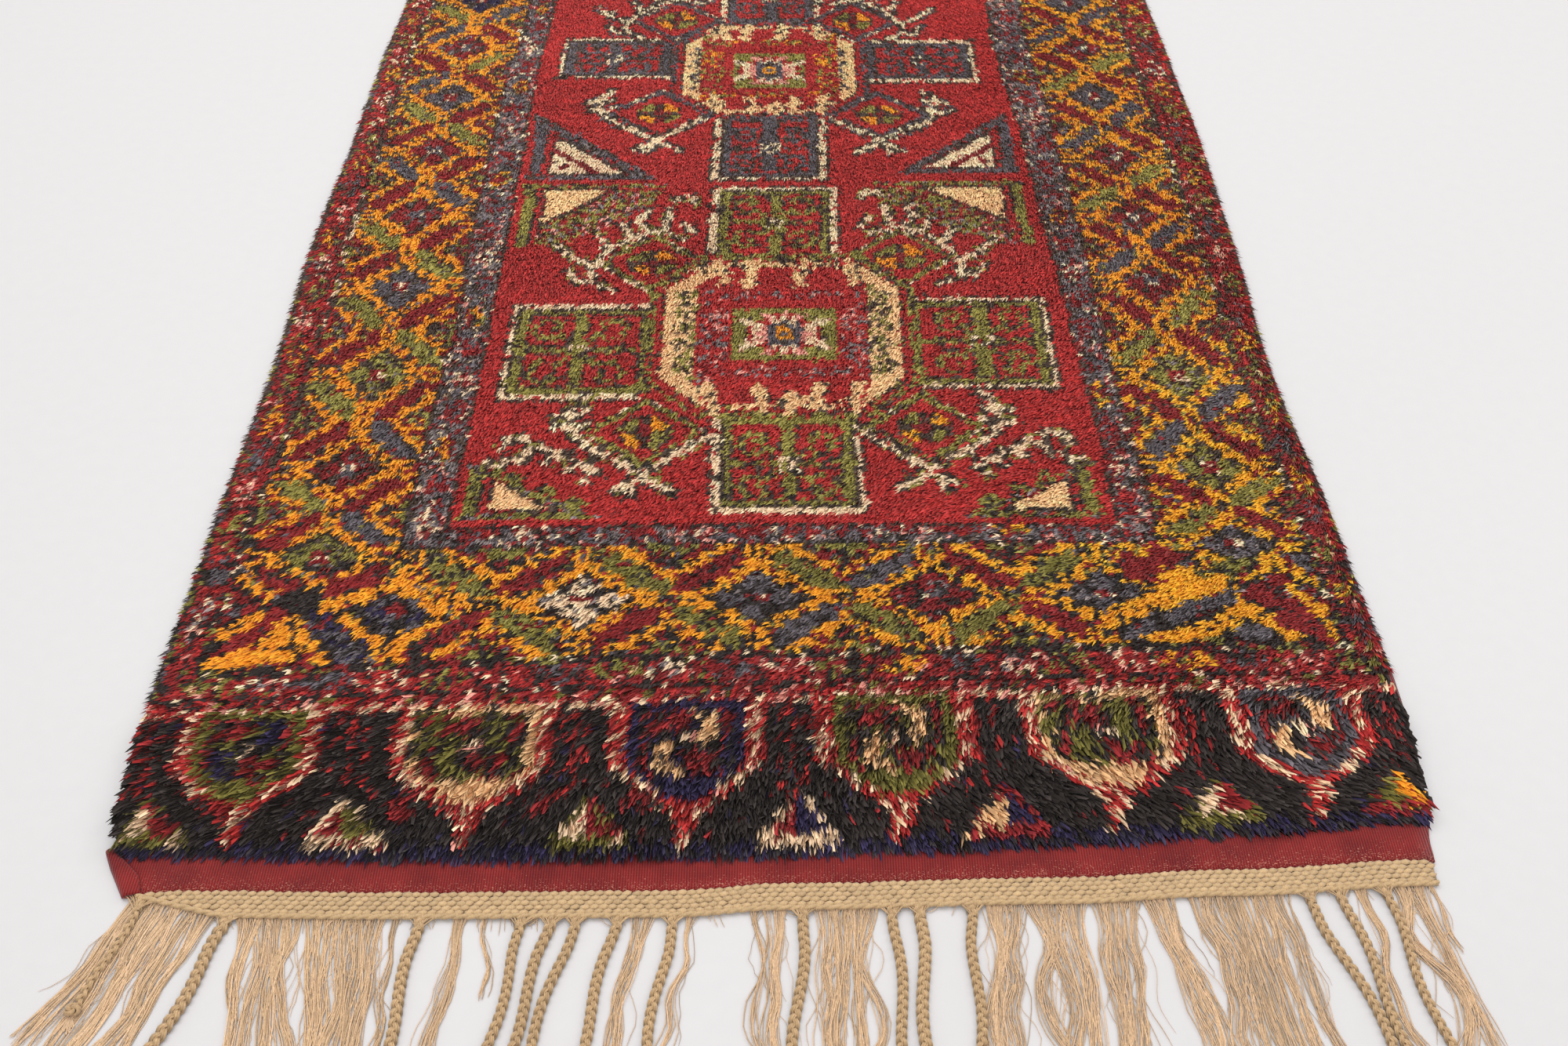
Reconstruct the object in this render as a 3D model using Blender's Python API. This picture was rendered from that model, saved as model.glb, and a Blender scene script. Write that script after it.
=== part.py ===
"""A hand-knotted village rug lying flat on a floor.

The rug is one cloth: a bare weft-faced skirt at each end and, between them, the knotted pile with its
lumpy top and its locks at the rim. Its warps end in a plaited band, and past the band they hang free as
the fringe. +X runs across the rug, -Y is the end with the dark tufted panel, and +Z is up. Everything is
laid out from the middle of the pile, and the last step moves the whole rug so that its outer box stands
on the origin.
"""

import math
from typing import Callable, NamedTuple, Sequence

import bmesh
import bpy
import numpy as np
from mathutils import Vector, noise

# The cloth, in metres.
PILE_HALF_LENGTH = 1.0625
SKIRT_DEPTH = 0.035
WEAVE_THICK = 0.0026
FIELD_PILE = 0.0105
SHAG_PILE = 0.0185
SHAG_DEPTH = 0.17
FIELD_LUMP = 0.0030
SHAG_LUMP = 0.0070
LUMP_SPAN = 0.085
RIM_DROP = 0.003

# The locks at the pile's rim.
ROW_PITCH = 0.040
COLUMN_PITCH = 0.062
SIDE_LOCKS_PER_ROW = 2
END_LOCKS_PER_COLUMN = 3
SIDE_LOCK_REACH = 0.009
SIDE_LOCK_LEAN = 0.007
END_LOCK_REACH = 0.014
END_SHOULDER = 0.022
LOCK_TIP_HEIGHT = 0.0036

# The turned-over corner of the near skirt.
FLAP_WIDTH = 0.029
FLAP_LIFT = 0.0028

# The plaited band, its rolled edge and the fringe.
GAP = 0.0003
BAND_DEPTH = 0.0235
BAND_THICK = 0.0048
BAND_ROWS = 5
BAND_VALLEY = 0.0012
BAND_POINT = 0.040
BAND_POINT_SHARE = 0.25
ROLL_DEPTH = 0.005
ROLL_THICK = 0.0040
YARN_WIDTH = 0.0034
YARN_THICK = 0.0026
BRAID_WIDTH = 0.0108
BRAID_THICK = 0.0052
FRINGE_LENGTH = 0.172
FRINGE_UNEVEN = 0.016
FRINGE_SEEN = 0.125
FAR_LOCKS = 92
FAR_LOCK_WIDTH = 0.0056
FAR_LOCK_SWAY = 0.006
NEAR_STEPS = 3
FAR_STEPS = 2


class Edge(NamedTuple):
    """A place along the rug's two long sides."""

    y: float
    left: float
    right: float


class EndPoint(NamedTuple):
    """How far out an end line lies at one place across the rug."""

    x: float
    reach: float


class Hank(NamedTuple):
    """Neighbouring strands of the near fringe, from their roots to where they lie FRINGE_SEEN further out."""

    kind: str
    count: int
    root_from: float
    root_to: float
    out_from: float
    out_to: float
    length: float


SIDES = (
    Edge(1.0975, -0.600, 0.596),
    Edge(0.7675, -0.605, 0.600),
    Edge(0.5175, -0.606, 0.598),
    Edge(0.3175, -0.614, 0.604),
    Edge(0.1175, -0.616, 0.609),
    Edge(-0.1425, -0.624, 0.607),
    Edge(-0.3825, -0.620, 0.600),
    Edge(-0.6825, -0.626, 0.614),
    Edge(-0.8825, -0.630, 0.622),
    Edge(-1.0025, -0.624, 0.616),
    Edge(-1.0620, -0.613, 0.600),
    Edge(-1.1090, -0.589, 0.593),
)
NEAR_PILE_END = (
    EndPoint(-0.62, 1.0610),
    EndPoint(-0.35, 1.0755),
    EndPoint(-0.10, 1.0735),
    EndPoint(0.00, 1.0640),
    EndPoint(0.10, 1.0620),
    EndPoint(0.30, 1.0525),
    EndPoint(0.45, 1.0385),
    EndPoint(0.62, 1.0320),
)
NEAR_SKIRT_END = (
    EndPoint(-0.60, 1.1070),
    EndPoint(-0.54, 1.1020),
    EndPoint(-0.35, 1.1025),
    EndPoint(-0.10, 1.1025),
    EndPoint(0.00, 1.0965),
    EndPoint(0.25, 1.0895),
    EndPoint(0.40, 1.0825),
    EndPoint(0.60, 1.0730),
)
NEAR_FRINGE = (
    Hank("loose", 4, -0.5785, -0.5630, -0.6360, -0.6120, 0.170),
    Hank("braid", 1, -0.5545, -0.5545, -0.5900, -0.5900, 0.098),
    Hank("loose", 7, -0.5450, -0.5050, -0.5760, -0.5400, 0.172),
    Hank("braid", 1, -0.4875, -0.4875, -0.5245, -0.5245, 0.176),
    Hank("loose", 8, -0.4775, -0.4270, -0.4680, -0.4160, 0.172),
    Hank("loose", 10, -0.4200, -0.3540, -0.4060, -0.3500, 0.172),
    Hank("loose", 1, -0.3410, -0.3410, -0.3430, -0.3430, 0.160),
    Hank("braid", 1, -0.3180, -0.3180, -0.3300, -0.3300, 0.175),
    Hank("loose", 2, -0.2870, -0.2810, -0.2950, -0.2890, 0.165),
    Hank("loose", 1, -0.2630, -0.2630, -0.2560, -0.2560, 0.080),
    Hank("braid", 1, -0.2270, -0.2270, -0.2460, -0.2460, 0.172),
    Hank("braid", 1, -0.2010, -0.2010, -0.2270, -0.2270, 0.176),
    Hank("braid", 1, -0.1800, -0.1800, -0.2095, -0.2095, 0.170),
    Hank("braid", 1, -0.1430, -0.1430, -0.1675, -0.1675, 0.165),
    Hank("loose", 2, -0.1290, -0.1170, -0.1450, -0.1320, 0.160),
    Hank("braid", 1, -0.0960, -0.0960, -0.1110, -0.1110, 0.174),
    Hank("loose", 1, -0.0800, -0.0800, -0.0980, -0.0980, 0.160),
    Hank("loose", 1, -0.0250, -0.0250, -0.0180, -0.0180, 0.170),
    Hank("loose", 3, -0.0110, 0.0010, -0.0090, 0.0000, 0.168),
    Hank("braid", 1, 0.0200, 0.0200, 0.0120, 0.0120, 0.176),
    Hank("loose", 9, 0.0340, 0.0865, 0.0310, 0.0820, 0.172),
    Hank("braid", 1, 0.0980, 0.0980, 0.1030, 0.1030, 0.170),
    Hank("braid", 1, 0.1220, 0.1220, 0.1225, 0.1225, 0.175),
    Hank("braid", 1, 0.1710, 0.1710, 0.1650, 0.1650, 0.172),
    Hank("loose", 6, 0.1820, 0.2130, 0.1760, 0.2020, 0.170),
    Hank("loose", 7, 0.2215, 0.2655, 0.2300, 0.2720, 0.172),
    Hank("loose", 6, 0.2775, 0.3175, 0.2810, 0.3065, 0.168),
    Hank("loose", 4, 0.3255, 0.3470, 0.3480, 0.3680, 0.165),
    Hank("loose", 13, 0.3665, 0.4510, 0.3850, 0.4620, 0.172),
    Hank("braid", 1, 0.4700, 0.4700, 0.5040, 0.5040, 0.176),
    Hank("braid", 1, 0.4990, 0.4990, 0.5190, 0.5190, 0.172),
    Hank("loose", 2, 0.5160, 0.5220, 0.5300, 0.5360, 0.165),
    Hank("braid", 1, 0.5400, 0.5400, 0.5540, 0.5540, 0.175),
    Hank("loose", 5, 0.5520, 0.5760, 0.5680, 0.5940, 0.172),
    Hank("loose", 1, 0.5835, 0.5835, 0.6060, 0.6060, 0.070),
)
PILE_COLOUR = (0.36, 0.030, 0.032)
YARN_COLOUR = (0.56, 0.38, 0.20)
WOOL_ROUGHNESS = 0.95


def clear_scene() -> None:
    """Removes every object that the file opens with."""
    for thing in list(bpy.data.objects):
        bpy.data.objects.remove(thing, do_unlink=True)


def cloth_material(name: str, colour: Sequence[float]) -> bpy.types.Material:
    """Returns a rough woollen material.

    Args:
        name: The material's name.
        colour: Its linear red, green and blue.
    """
    material = bpy.data.materials.new(name)
    material.use_nodes = True
    shader = material.node_tree.nodes["Principled BSDF"]
    shader.inputs["Base Color"].default_value = (*colour, 1.0)
    shader.inputs["Roughness"].default_value = WOOL_ROUGHNESS
    shader.inputs["Metallic"].default_value = 0.0
    return material


def smooth_between(at: float, places: Sequence[float], values: Sequence[float]) -> float:
    """Returns a value eased between the rows of a short table.

    Args:
        at: The place to read.
        places: The rows' places, rising.
        values: The rows' values.
    """
    if at <= places[0]:
        return values[0]
    for low, high, first, second in zip(places, places[1:], values, values[1:]):
        if at <= high:
            share = (at - low) / (high - low)
            return first + (second - first) * (0.5 - 0.5 * math.cos(math.pi * share))
    return values[-1]


def side_x(across: float, y: float) -> float:
    """Returns the x of a point that lies at a share of the rug's width.

    Args:
        across: 0 at the left edge and 1 at the right.
        y: The place along the rug.
    """
    rows = sorted(SIDES)
    places = [row.y for row in rows]
    left = smooth_between(y, places, [row.left for row in rows])
    right = smooth_between(y, places, [row.right for row in rows])
    return left + (right - left) * across


def end_reach(table: Sequence[EndPoint], x: float) -> float:
    """Returns how far out an end line lies at x.

    Args:
        table: The line's points, from left to right.
        x: The place across the rug.
    """
    return smooth_between(x, [point.x for point in table], [point.reach for point in table])


def spaced(low: float, high: float, pitch: float) -> list[float]:
    """Returns evenly spaced places from low to high, about a pitch apart."""
    steps = max(1, round((high - low) / pitch))
    return [low + (high - low) * step / steps for step in range(steps + 1)]


def across_shares() -> list[float]:
    """Returns the rug's columns as shares of its width, with a narrow one at each side."""
    width = SIDES[0].right - SIDES[0].left
    edge = FLAP_WIDTH / width
    return [0.0, *spaced(edge, 1.0 - edge, COLUMN_PITCH / width), 1.0]


SHARES = across_shares()
NEAR_SEAM_XS = [side_x(share, -NEAR_SKIRT_END[0].reach) for share in SHARES]
NEAR_SEAM_YS = [-end_reach(NEAR_SKIRT_END, x) for x in NEAR_SEAM_XS]
FAR_SEAM_Y = PILE_HALF_LENGTH + SKIRT_DEPTH


def near_seam(x: float) -> float:
    """Returns the y of the line where the near skirt ends, straight between the rug's columns."""
    return float(np.interp(x, NEAR_SEAM_XS, NEAR_SEAM_YS))


def slab(name: str, places: list[list[Vector]], material: bpy.types.Material) -> bpy.types.Object:
    """Makes a closed solid with a shaped top and a flat underside at height 0.

    Args:
        name: The object's name.
        places: The top's points, in rows from near to far, each from left to right.
        material: What the slab is made of.

    Returns:
        The new object, with its faces pointing out.
    """
    rows, columns = len(places), len(places[0])
    sheet = bmesh.new()
    bmesh.ops.create_grid(sheet, x_segments=columns - 1, y_segments=rows - 1, size=0.5)
    sheet.verts.ensure_lookup_table()
    for index, vert in enumerate(sheet.verts):
        vert.co = places[index // columns][index % columns]
    base = bmesh.ops.extrude_face_region(sheet, geom=list(sheet.faces))["geom"]
    top_faces = [piece for piece in base if isinstance(piece, bmesh.types.BMFace)]
    lower = {vert for vert in sheet.verts} - {vert for face in top_faces for vert in face.verts}
    for vert in lower:
        vert.co.z = 0.0
    under = [face for face in sheet.faces if all(vert in lower for vert in face.verts)]
    bmesh.ops.dissolve_faces(sheet, faces=under, use_verts=True)
    bmesh.ops.recalc_face_normals(sheet, faces=list(sheet.faces))
    mesh = bpy.data.meshes.new(name)
    sheet.to_mesh(mesh)
    sheet.free()
    mesh.materials.append(material)
    thing = bpy.data.objects.new(name, mesh)
    bpy.context.scene.collection.objects.link(thing)
    return thing


def pile_height(x: float, y: float) -> float:
    """Returns the height of the pile's top, deeper in the near panel and lumpy all over."""
    into_shag = y + PILE_HALF_LENGTH
    shag = 1.0 - min(1.0, max(0.0, (into_shag - 0.6 * SHAG_DEPTH) / (0.5 * SHAG_DEPTH)))
    lump = noise.noise(Vector((x / LUMP_SPAN, y / LUMP_SPAN, 0.0)))
    swell = noise.noise(Vector((x / (4 * LUMP_SPAN), y / (4 * LUMP_SPAN), 5.0)))
    size = FIELD_LUMP + (SHAG_LUMP - FIELD_LUMP) * shag
    return FIELD_PILE + (SHAG_PILE - FIELD_PILE) * shag + size * (lump + 0.6 * swell)


def pile_rows() -> list[Callable[[float], tuple[float, float]]]:
    """Returns a function for each row of the cloth's top, from a share across to its y and height."""
    def skirt(out: float, near: bool) -> Callable[[float], tuple[float, float]]:
        """Returns a row on a bare skirt, out being 0 at the pile and 1 at the seam."""
        def row(share: float) -> tuple[float, float]:
            if not near:
                return PILE_HALF_LENGTH + SKIRT_DEPTH * out, WEAVE_THICK
            x = side_x(share, -PILE_HALF_LENGTH)
            pile_y = -end_reach(NEAR_PILE_END, x)
            seam_y = NEAR_SEAM_YS[SHARES.index(share)]
            return pile_y + (seam_y - pile_y) * out, WEAVE_THICK
        return row

    def piled(along: float) -> Callable[[float], tuple[float, float]]:
        """Returns a row on the pile, along being 0 at the near shoulder and 1 at the far one."""
        def row(share: float) -> tuple[float, float]:
            x = side_x(share, -PILE_HALF_LENGTH)
            near_y = END_SHOULDER - end_reach(NEAR_PILE_END, x)
            far_y = PILE_HALF_LENGTH - END_SHOULDER
            y = near_y + (far_y - near_y) * along
            rim = RIM_DROP if share in (0.0, 1.0) else 0.0
            return y, pile_height(side_x(share, y), y) - rim
        return row

    along = spaced(0.0, 1.0, ROW_PITCH / (2 * (PILE_HALF_LENGTH - END_SHOULDER)))
    return [skirt(1.0, True), skirt(0.0, True), *(piled(share) for share in along), skirt(0.0, False),
            skirt(1.0, False)]


def cloth_places() -> list[list[Vector]]:
    """Returns the points of the cloth's top, in rows from near to far."""
    rows, places = pile_rows(), []
    for number, row in enumerate(rows):
        line = []
        for share in SHARES:
            y, height = row(share)
            x = NEAR_SEAM_XS[SHARES.index(share)] if number == 0 else side_x(share, y)
            if 0 < number < len(rows) - 1:
                x += SIDE_LOCK_REACH * {0.0: 1.0, 1.0: -1.0}.get(share, 0.0)
            line.append(Vector((x, y, height)))
        places.append(line)
    return places


def split_rim(mesh: bmesh.types.BMesh, faces: list[bmesh.types.BMFace], parts: int, level: bool) -> set:
    """Cuts a run of rim faces into narrower ones and returns the new run.

    Args:
        mesh: The cloth's mesh.
        faces: Four-sided faces, one beside the next.
        parts: How many faces each one becomes.
        level: Whether the cut edges are those that run across the rug, and not along it.
    """
    chosen = set()
    for face in faces:
        for edge in face.edges:
            way = edge.verts[0].co - edge.verts[1].co
            if (abs(way.x) > abs(way.y)) == level and abs(way.z) < 0.5 * way.length:
                chosen.add(edge)
    middles = [face.calc_center_median() for face in faces]
    bmesh.ops.subdivide_edges(mesh, edges=list(chosen), cuts=parts - 1, use_grid_fill=True)
    run = set()
    reach = 0.5 * (COLUMN_PITCH if level else ROW_PITCH)
    for face in mesh.faces:
        if len(face.verts) != 4:
            continue
        middle = face.calc_center_median()
        if any(math.dist(middle.yz if level else middle.xz, spot.yz if level else spot.xz) < 0.008
               and abs((middle - spot)[0 if level else 1]) < reach for spot in middles):
            run.add(face)
    return run


def tuft_rim(thing: bpy.types.Object) -> None:
    """Draws the pile's rim out into locks and turns the near left corner of the skirt over."""
    mesh = bmesh.new()
    mesh.from_mesh(thing.data)
    walls, slopes = [], {-1.0: [], 1.0: []}
    for face in mesh.faces:
        if len(face.verts) != 4:
            continue
        middle, normal = face.calc_center_median(), face.normal
        heights = sorted(vert.co.z for vert in face.verts)
        if abs(normal.x) > 0.9 and heights[2] > 2 * WEAVE_THICK:
            walls.append(face)
        elif abs(normal.y) > 0.2 and abs(heights[1] - WEAVE_THICK) < 1e-6 and heights[2] > 2 * WEAVE_THICK:
            slopes[math.copysign(1.0, middle.y)].append(face)
    for way, faces in slopes.items():
        run = split_rim(mesh, faces, END_LOCKS_PER_COLUMN, level=True)
        tips = bmesh.ops.poke(mesh, faces=[face for face in run if abs(face.normal.y) > 0.2])["verts"]
        for vert in tips:
            wild = noise.noise(Vector((vert.co.x * 31.0, way, 2.0)))
            vert.co.y += way * (END_SHOULDER / 2 + END_LOCK_REACH * (0.45 + 0.5 * wild))
            vert.co.x += 0.004 * wild
            vert.co.z = LOCK_TIP_HEIGHT
    run = split_rim(mesh, walls, SIDE_LOCKS_PER_ROW, level=False)
    tips = bmesh.ops.poke(mesh, faces=[face for face in run if abs(face.normal.x) > 0.9])["verts"]
    for vert in tips:
        wild = noise.noise(Vector((vert.co.y * 37.0, vert.co.x, 3.0)))
        vert.co.x += math.copysign(SIDE_LOCK_REACH * (0.85 + 0.3 * wild), vert.co.x)
        vert.co.y -= SIDE_LOCK_LEAN * (0.8 + 0.4 * wild)
        vert.co.z = LOCK_TIP_HEIGHT
    turn_corner(mesh)
    mesh.to_mesh(thing.data)
    mesh.free()


def turn_corner(mesh: bmesh.types.BMesh) -> None:
    """Doubles the outer half of the near skirt's left corner, along a crease from the pile to the band."""
    def on_skirt(face: bmesh.types.BMFace) -> bool:
        return face.normal.z > 0.9 and all(abs(vert.co.z - WEAVE_THICK) < 1e-6 for vert in face.verts)

    corner = min((face for face in mesh.faces if on_skirt(face)),
                 key=lambda face: sum(face.calc_center_median()[:2]))
    by_place = sorted(corner.verts, key=lambda vert: vert.co.x)
    pile_side = max(by_place[:2], key=lambda vert: vert.co.y)
    band_side = min(by_place[-2:], key=lambda vert: vert.co.y)
    bmesh.ops.connect_verts(mesh, verts=[pile_side, band_side])
    flap = min((face for face in mesh.faces if on_skirt(face)),
               key=lambda face: sum(face.calc_center_median()[:2]))
    lifted = bmesh.ops.extrude_face_region(mesh, geom=[flap])["geom"]
    for piece in lifted:
        if isinstance(piece, bmesh.types.BMVert):
            piece.co.z += FLAP_LIFT
    bmesh.ops.delete(mesh, geom=[flap], context="FACES_ONLY")


def woven_rug() -> bpy.types.Object:
    """Makes the cloth with its pile."""
    rug = slab("woven_rug", cloth_places(), cloth_material("wool_pile", PILE_COLOUR))
    tuft_rim(rug)
    return rug


def near_band_depth(x: float) -> float:
    """Returns how deep the near band is at x: its left end runs to a point."""
    opened = min(1.0, (x - NEAR_SEAM_XS[0]) / BAND_POINT)
    return BAND_DEPTH * (BAND_POINT_SHARE + (1.0 - BAND_POINT_SHARE) * opened)


def band_top(crossing: float) -> float:
    """Returns the plaited band's height at a share of its depth, a round ridge for each plaited row."""
    ridge = abs(math.sin(math.pi * BAND_ROWS * crossing))
    return BAND_THICK - BAND_VALLEY * (1.0 - ridge)


def plaited_band(name: str, near: bool, material: bpy.types.Material) -> bpy.types.Object:
    """Makes the band that the warps are plaited into past one skirt.

    Args:
        name: The object's name.
        near: Whether it is the band at the -Y end, whose left end runs to a point.
        material: The warp yarn.
    """
    steps = 2 * BAND_ROWS
    places = []
    for step in range(steps + 1):
        crossing = step / steps
        line = []
        for x in NEAR_SEAM_XS[:-1] + [NEAR_SEAM_XS[-1] - GAP]:
            seam = near_seam(x) if near else -FAR_SEAM_Y
            depth = near_band_depth(x) if near else BAND_DEPTH
            y = seam - GAP - depth * crossing
            line.append(Vector((x, y if near else -y, band_top(crossing))))
        places.append(line)
    return slab(name, places[::-1] if near else places, material)


def near_roll_back(x: float) -> float:
    """Returns the y where the near rolled edge starts, straight between the rug's columns."""
    ys = [near_seam(place) - 2 * GAP - near_band_depth(place) for place in NEAR_SEAM_XS]
    return float(np.interp(x, NEAR_SEAM_XS, ys))


def smooth_hash(number: int) -> float:
    """Returns a fixed value from -1 to 1 for a strand's number."""
    return math.sin(12.9898 * number + 4.1414) * math.cos(7.233 * number)


class Strand(NamedTuple):
    """One strand of a fringe: its root, where it lies further out, and its size."""

    root: float
    out: float
    length: float
    width: float
    thick: float


def near_strands() -> list[Strand]:
    """Returns the near fringe's strands from left to right."""
    strands = []
    for hank in NEAR_FRINGE:
        braid = hank.kind == "braid"
        for number in range(hank.count):
            share = number / max(1, hank.count - 1)
            wild = smooth_hash(len(strands))
            strands.append(Strand(
                root=hank.root_from + (hank.root_to - hank.root_from) * share,
                out=hank.out_from + (hank.out_to - hank.out_from) * share,
                length=hank.length + (0.0 if braid else FRINGE_UNEVEN * wild * min(1.0, hank.count / 4)),
                width=BRAID_WIDTH if braid else YARN_WIDTH,
                thick=BRAID_THICK if braid else YARN_THICK,
            ))
    return strands


def far_strands() -> list[Strand]:
    """Returns the far fringe's locks, evenly set and plain because the picture stops before them."""
    left, right = SIDES[0].left + FAR_LOCK_WIDTH, SIDES[0].right - FAR_LOCK_WIDTH
    strands = []
    for number in range(FAR_LOCKS):
        root = left + (right - left) * number / (FAR_LOCKS - 1)
        sway = FAR_LOCK_SWAY * math.sin(0.21 * number)
        strands.append(Strand(root, root + sway, FRINGE_LENGTH + 0.5 * FRINGE_UNEVEN * smooth_hash(number),
                              FAR_LOCK_WIDTH, YARN_THICK))
    return strands


def fringe(name: str, near: bool, material: bpy.types.Material) -> bpy.types.Object:
    """Makes the rolled edge of one band with the free warps drawn out of it, resting on the floor.

    Args:
        name: The object's name.
        near: Whether it is the fringe at the -Y end.
        material: The warp yarn.
    """
    strands, steps = (near_strands(), NEAR_STEPS) if near else (far_strands(), FAR_STEPS)
    left, right = (NEAR_SEAM_XS[0], NEAR_SEAM_XS[-1]) if near else (SIDES[0].left, SIDES[0].right)
    xs = [left]
    for strand in strands:
        xs += [strand.root - strand.width / 2, strand.root + strand.width / 2]
    xs.append(right)
    if near:
        free = [x for x in NEAR_SEAM_XS[1:-1]
                if all(abs(x - strand.root) > strand.width / 2 + GAP for strand in strands)]
        xs = sorted(xs + free)
    lines = []
    for depth in (ROLL_DEPTH, 0.0):
        line = []
        for x in xs:
            back = near_roll_back(x) if near else -(FAR_SEAM_Y + 2 * GAP + BAND_DEPTH)
            y = back - depth
            line.append(Vector((x, y if near else -y, ROLL_THICK)))
        lines.append(line)
    roll = slab(name, lines if near else lines[::-1], material)
    mesh = bmesh.new()
    mesh.from_mesh(roll.data)
    way = -1.0 if near else 1.0
    roots = [face for face in mesh.faces if len(face.verts) == 4 and face.normal.y * way > 0.7
             and any(abs(face.calc_center_median().x - strand.root) < 1e-5 for strand in strands)]
    roots.sort(key=lambda face: face.calc_center_median().x)
    for face, strand in zip(roots, strands):
        draw_out(mesh, face, strand, steps, way)
    mesh.to_mesh(roll.data)
    mesh.free()
    return roll


def draw_out(mesh: bmesh.types.BMesh, face: bmesh.types.BMFace, strand: Strand, steps: int,
             way: float) -> None:
    """Extrudes one strand along the floor from its root face.

    Args:
        mesh: The fringe's mesh.
        face: The root, a face of the rolled edge.
        strand: The strand's course and size.
        steps: How many straight lengths it has.
        way: -1 to run towards the viewer's end and 1 away from it.
    """
    start = face.calc_center_median().y
    for step in range(1, steps + 1):
        share = step / steps
        reach = strand.length * share
        drift = (strand.out - strand.root) * min(1.0, reach / FRINGE_SEEN)
        taper = 1.0 - 0.45 * max(0.0, share - 0.6) / 0.4
        face = bmesh.ops.extrude_discrete_faces(mesh, faces=[face])["faces"][0]
        middle = face.calc_center_median()
        for vert in face.verts:
            aside = math.copysign(0.5 * strand.width * taper, vert.co.x - middle.x)
            low = vert.co.z < middle.z
            vert.co = Vector((strand.root + drift + aside, start + way * reach,
                              0.0 if low else strand.thick * taper))


def stand_on_origin(things: Sequence[bpy.types.Object]) -> None:
    """Moves the whole rug so that its box stands centred on the origin."""
    corners = np.array([vert.co for thing in things for vert in thing.data.vertices])
    middle = (corners.min(axis=0) + corners.max(axis=0)) / 2
    for thing in things:
        for vert in thing.data.vertices:
            vert.co.x -= middle[0]
            vert.co.y -= middle[1]


def main() -> None:
    """Builds the rug, its two bands and its two fringes."""
    clear_scene()
    warp = cloth_material("warp_yarn", YARN_COLOUR)
    pieces = [
        woven_rug(),
        plaited_band("plaited_band_near", True, warp),
        plaited_band("plaited_band_far", False, warp),
        fringe("fringe_near", True, warp),
        fringe("fringe_far", False, warp),
    ]
    stand_on_origin(pieces)


if __name__ == "__main__":
    main()
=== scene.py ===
"""The looks of an Anatolian pile rug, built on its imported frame.

The rug lies flat: a red weft-faced ground with bare skirts, some hundred thousand leaning wool knots in
the field, long shaggy locks in the dark panel at the near end, a plaited band of warp yarn past each
skirt, and the free warps as fringes. Everything is laid out in metres from the middle of the pile, as in
the rug's own plan, and moved once into the frame's axes.
"""

import logging
import math
from dataclasses import dataclass, field
from enum import IntEnum

import bpy
import numpy as np
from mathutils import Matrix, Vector


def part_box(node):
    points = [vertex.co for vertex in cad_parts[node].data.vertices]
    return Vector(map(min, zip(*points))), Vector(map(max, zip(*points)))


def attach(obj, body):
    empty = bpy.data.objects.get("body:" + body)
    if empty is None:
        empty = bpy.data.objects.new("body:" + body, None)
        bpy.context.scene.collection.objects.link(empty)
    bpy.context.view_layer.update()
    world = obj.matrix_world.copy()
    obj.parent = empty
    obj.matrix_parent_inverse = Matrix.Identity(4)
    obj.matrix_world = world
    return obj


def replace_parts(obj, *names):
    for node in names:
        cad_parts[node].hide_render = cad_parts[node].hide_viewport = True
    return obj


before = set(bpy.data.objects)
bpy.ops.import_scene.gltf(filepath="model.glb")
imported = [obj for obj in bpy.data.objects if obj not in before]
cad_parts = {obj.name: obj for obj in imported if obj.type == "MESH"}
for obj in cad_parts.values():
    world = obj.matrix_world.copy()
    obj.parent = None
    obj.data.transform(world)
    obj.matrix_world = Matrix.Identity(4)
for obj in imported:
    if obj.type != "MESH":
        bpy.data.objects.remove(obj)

Array = np.ndarray
log = logging.getLogger("anatolian_rug")
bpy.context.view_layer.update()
BODY = "root"


# Wools, plan and knot chart


class Wool(IntEnum):
    """The dyed yarns of the pile, by number as the knot chart holds them."""

    RED = 0
    CRIMSON = 1
    GOLD = 2
    GREEN = 3
    SLATE = 4
    NAVY = 5
    BLACK = 6
    CREAM = 7
    WHITE = 8
    PINK = 9
    GREY = 10


def linear(red: int, green: int, blue: int) -> tuple[float, float, float]:
    """Turns a screen colour of 0 to 255 into linear light.

    Args:
        red: The red share.
        green: The green share.
        blue: The blue share.

    Returns:
        The three linear values.
    """
    shares = (value / 255 for value in (red, green, blue))
    return tuple(share / 12.92 if share <= 0.04045 else ((share + 0.055) / 1.055) ** 2.4 for share in shares)


@dataclass(frozen=True)
class Dye:
    """A dyed yarn: its colour, and how much one knot differs from the next."""

    colour: tuple[float, float, float]
    spread: float = 0.12


DYES = {
    Wool.RED: Dye(linear(191, 53, 51), 0.13),
    Wool.CRIMSON: Dye(linear(148, 42, 44), 0.15),
    Wool.GOLD: Dye(linear(255, 160, 44), 0.10),
    Wool.GREEN: Dye(linear(156, 146, 72), 0.18),
    Wool.SLATE: Dye(linear(104, 97, 102), 0.20),
    Wool.NAVY: Dye(linear(54, 46, 80), 0.20),
    Wool.BLACK: Dye(linear(52, 46, 44), 0.25),
    Wool.CREAM: Dye(linear(255, 206, 152), 0.08),
    Wool.WHITE: Dye(linear(252, 218, 180), 0.08),
    Wool.PINK: Dye(linear(238, 160, 144), 0.12),
    Wool.GREY: Dye(linear(138, 126, 124), 0.20),
}


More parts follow.
